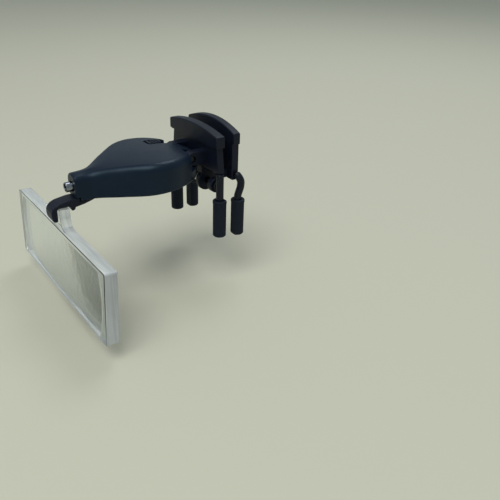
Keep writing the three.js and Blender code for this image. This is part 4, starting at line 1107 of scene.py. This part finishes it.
def build_lens():
    half = LENS_THICKNESS / 2
    outline = rounded_rect(-LENS_HALF, -LENS_HEIGHT, LENS_HALF, 0, LENS_CORNER, 5)
    slab = prism("lens", outline, -half, half, "y", LENS_ROUNDING)
    right = [(TAB_FOOT_HALF, 0.0), *TAB_FLARE]
    tab = [(-TAB_FOOT_HALF, -1.0), (TAB_FOOT_HALF, -1.0), *right, *[(-u, v) for u, v in right[::-1]]]
    front, back = TAB_MIDDLE - TAB_THICKNESS / 2, TAB_MIDDLE + TAB_THICKNESS / 2
    join(slab, prism("tab", tab, front, back, "y", TAB_ROUNDING, 3))
    cut(slab, lens_zone())
    slab.data.transform(Matrix.Translation(LENS_TOP) @ Matrix.Rotation(-LENS_TILT, 4, "X"))
    place(slab, "lens", "magnifier_lens", "clear", 24)
    slab.data.materials.append(LOOKS["edge"])
    for face in slab.data.polygons:
        if abs(face.normal.y) < EDGE_NORMAL:
            face.material_index = 1


# ---- Camera, floor and light, in metres ----
CAMERA_PLACE = (0.16619, -0.10982, 0.08949)
CAMERA_RIGHT = (0.61039, 0.79122, 0.03740)
CAMERA_UP = (-0.40399, 0.27035, 0.87390)
CAMERA_BACK = (0.68133, -0.54853, 0.48466)
CAMERA_LENS, CAMERA_SENSOR = 39.43, 36.0   # millimetres
FLOOR_Z, FLOOR_HALF = -0.026, 3.0
FLOOR_COLOUR = (0.525, 0.51, 0.405)
SKY_COLOUR, SKY_STRENGTH = (0.84, 0.94, 1.0), 0.43


def build_camera():
    data = bpy.data.cameras.new("camera")
    data.lens = CAMERA_LENS
    data.sensor_width = CAMERA_SENSOR
    data.clip_start = 0.005
    data.clip_end = 20.0
    camera = new_object("camera", data)
    axes = Matrix((CAMERA_RIGHT, CAMERA_UP, CAMERA_BACK)).transposed().to_4x4()
    camera.matrix_world = Matrix.Translation(CAMERA_PLACE) @ axes
    bpy.context.scene.camera = camera


def build_floor():
    mesh = bpy.data.meshes.new("floor")
    corners = [(x * FLOOR_HALF, y * FLOOR_HALF, FLOOR_Z) for x, y in ((-1, -1), (1, -1), (1, 1), (-1, 1))]
    mesh.from_pydata(corners, [], [(0, 1, 2, 3)])
    floor = new_object("floor", mesh)
    look = bpy.data.materials.new("floor")
    look.use_nodes = True
    shader = look.node_tree.nodes["Principled BSDF"]
    shader.inputs["Base Color"].default_value = rgba(FLOOR_COLOUR)
    shader.inputs["Roughness"].default_value = 0.9
    mesh.materials.append(look)


def ceiling_lamp(name, place_at, size, power, colour):
    """A soft round light that faces straight down."""
    data = bpy.data.lights.new(name, "AREA")
    data.shape = "DISK"
    data.size = size
    data.energy = power
    data.color = colour
    new_object(name, data).location = place_at


def build_light():
    scene = bpy.context.scene
    scene.view_settings.view_transform = "Standard"
    world = bpy.data.worlds.new("studio")
    world.use_nodes = True
    sky = world.node_tree.nodes["Background"]
    sky.inputs["Color"].default_value = rgba(SKY_COLOUR)
    sky.inputs["Strength"].default_value = SKY_STRENGTH
    scene.world = world
    ceiling_lamp("front_light", (0.30, -0.46, 0.95), 0.8, 7.5, (0.99, 1.0, 0.97))
    ceiling_lamp("back_light", (-0.22, 0.42, 0.80), 0.5, 2.5, (0.92, 0.97, 1.0))


build_camera()
build_floor()
build_light()
build_shell()
build_base()
build_door()
build_screws()
build_clip()
build_carrier()
build_lamp()
build_cells()
build_contacts()
build_circuit()
build_knob()
build_lens()
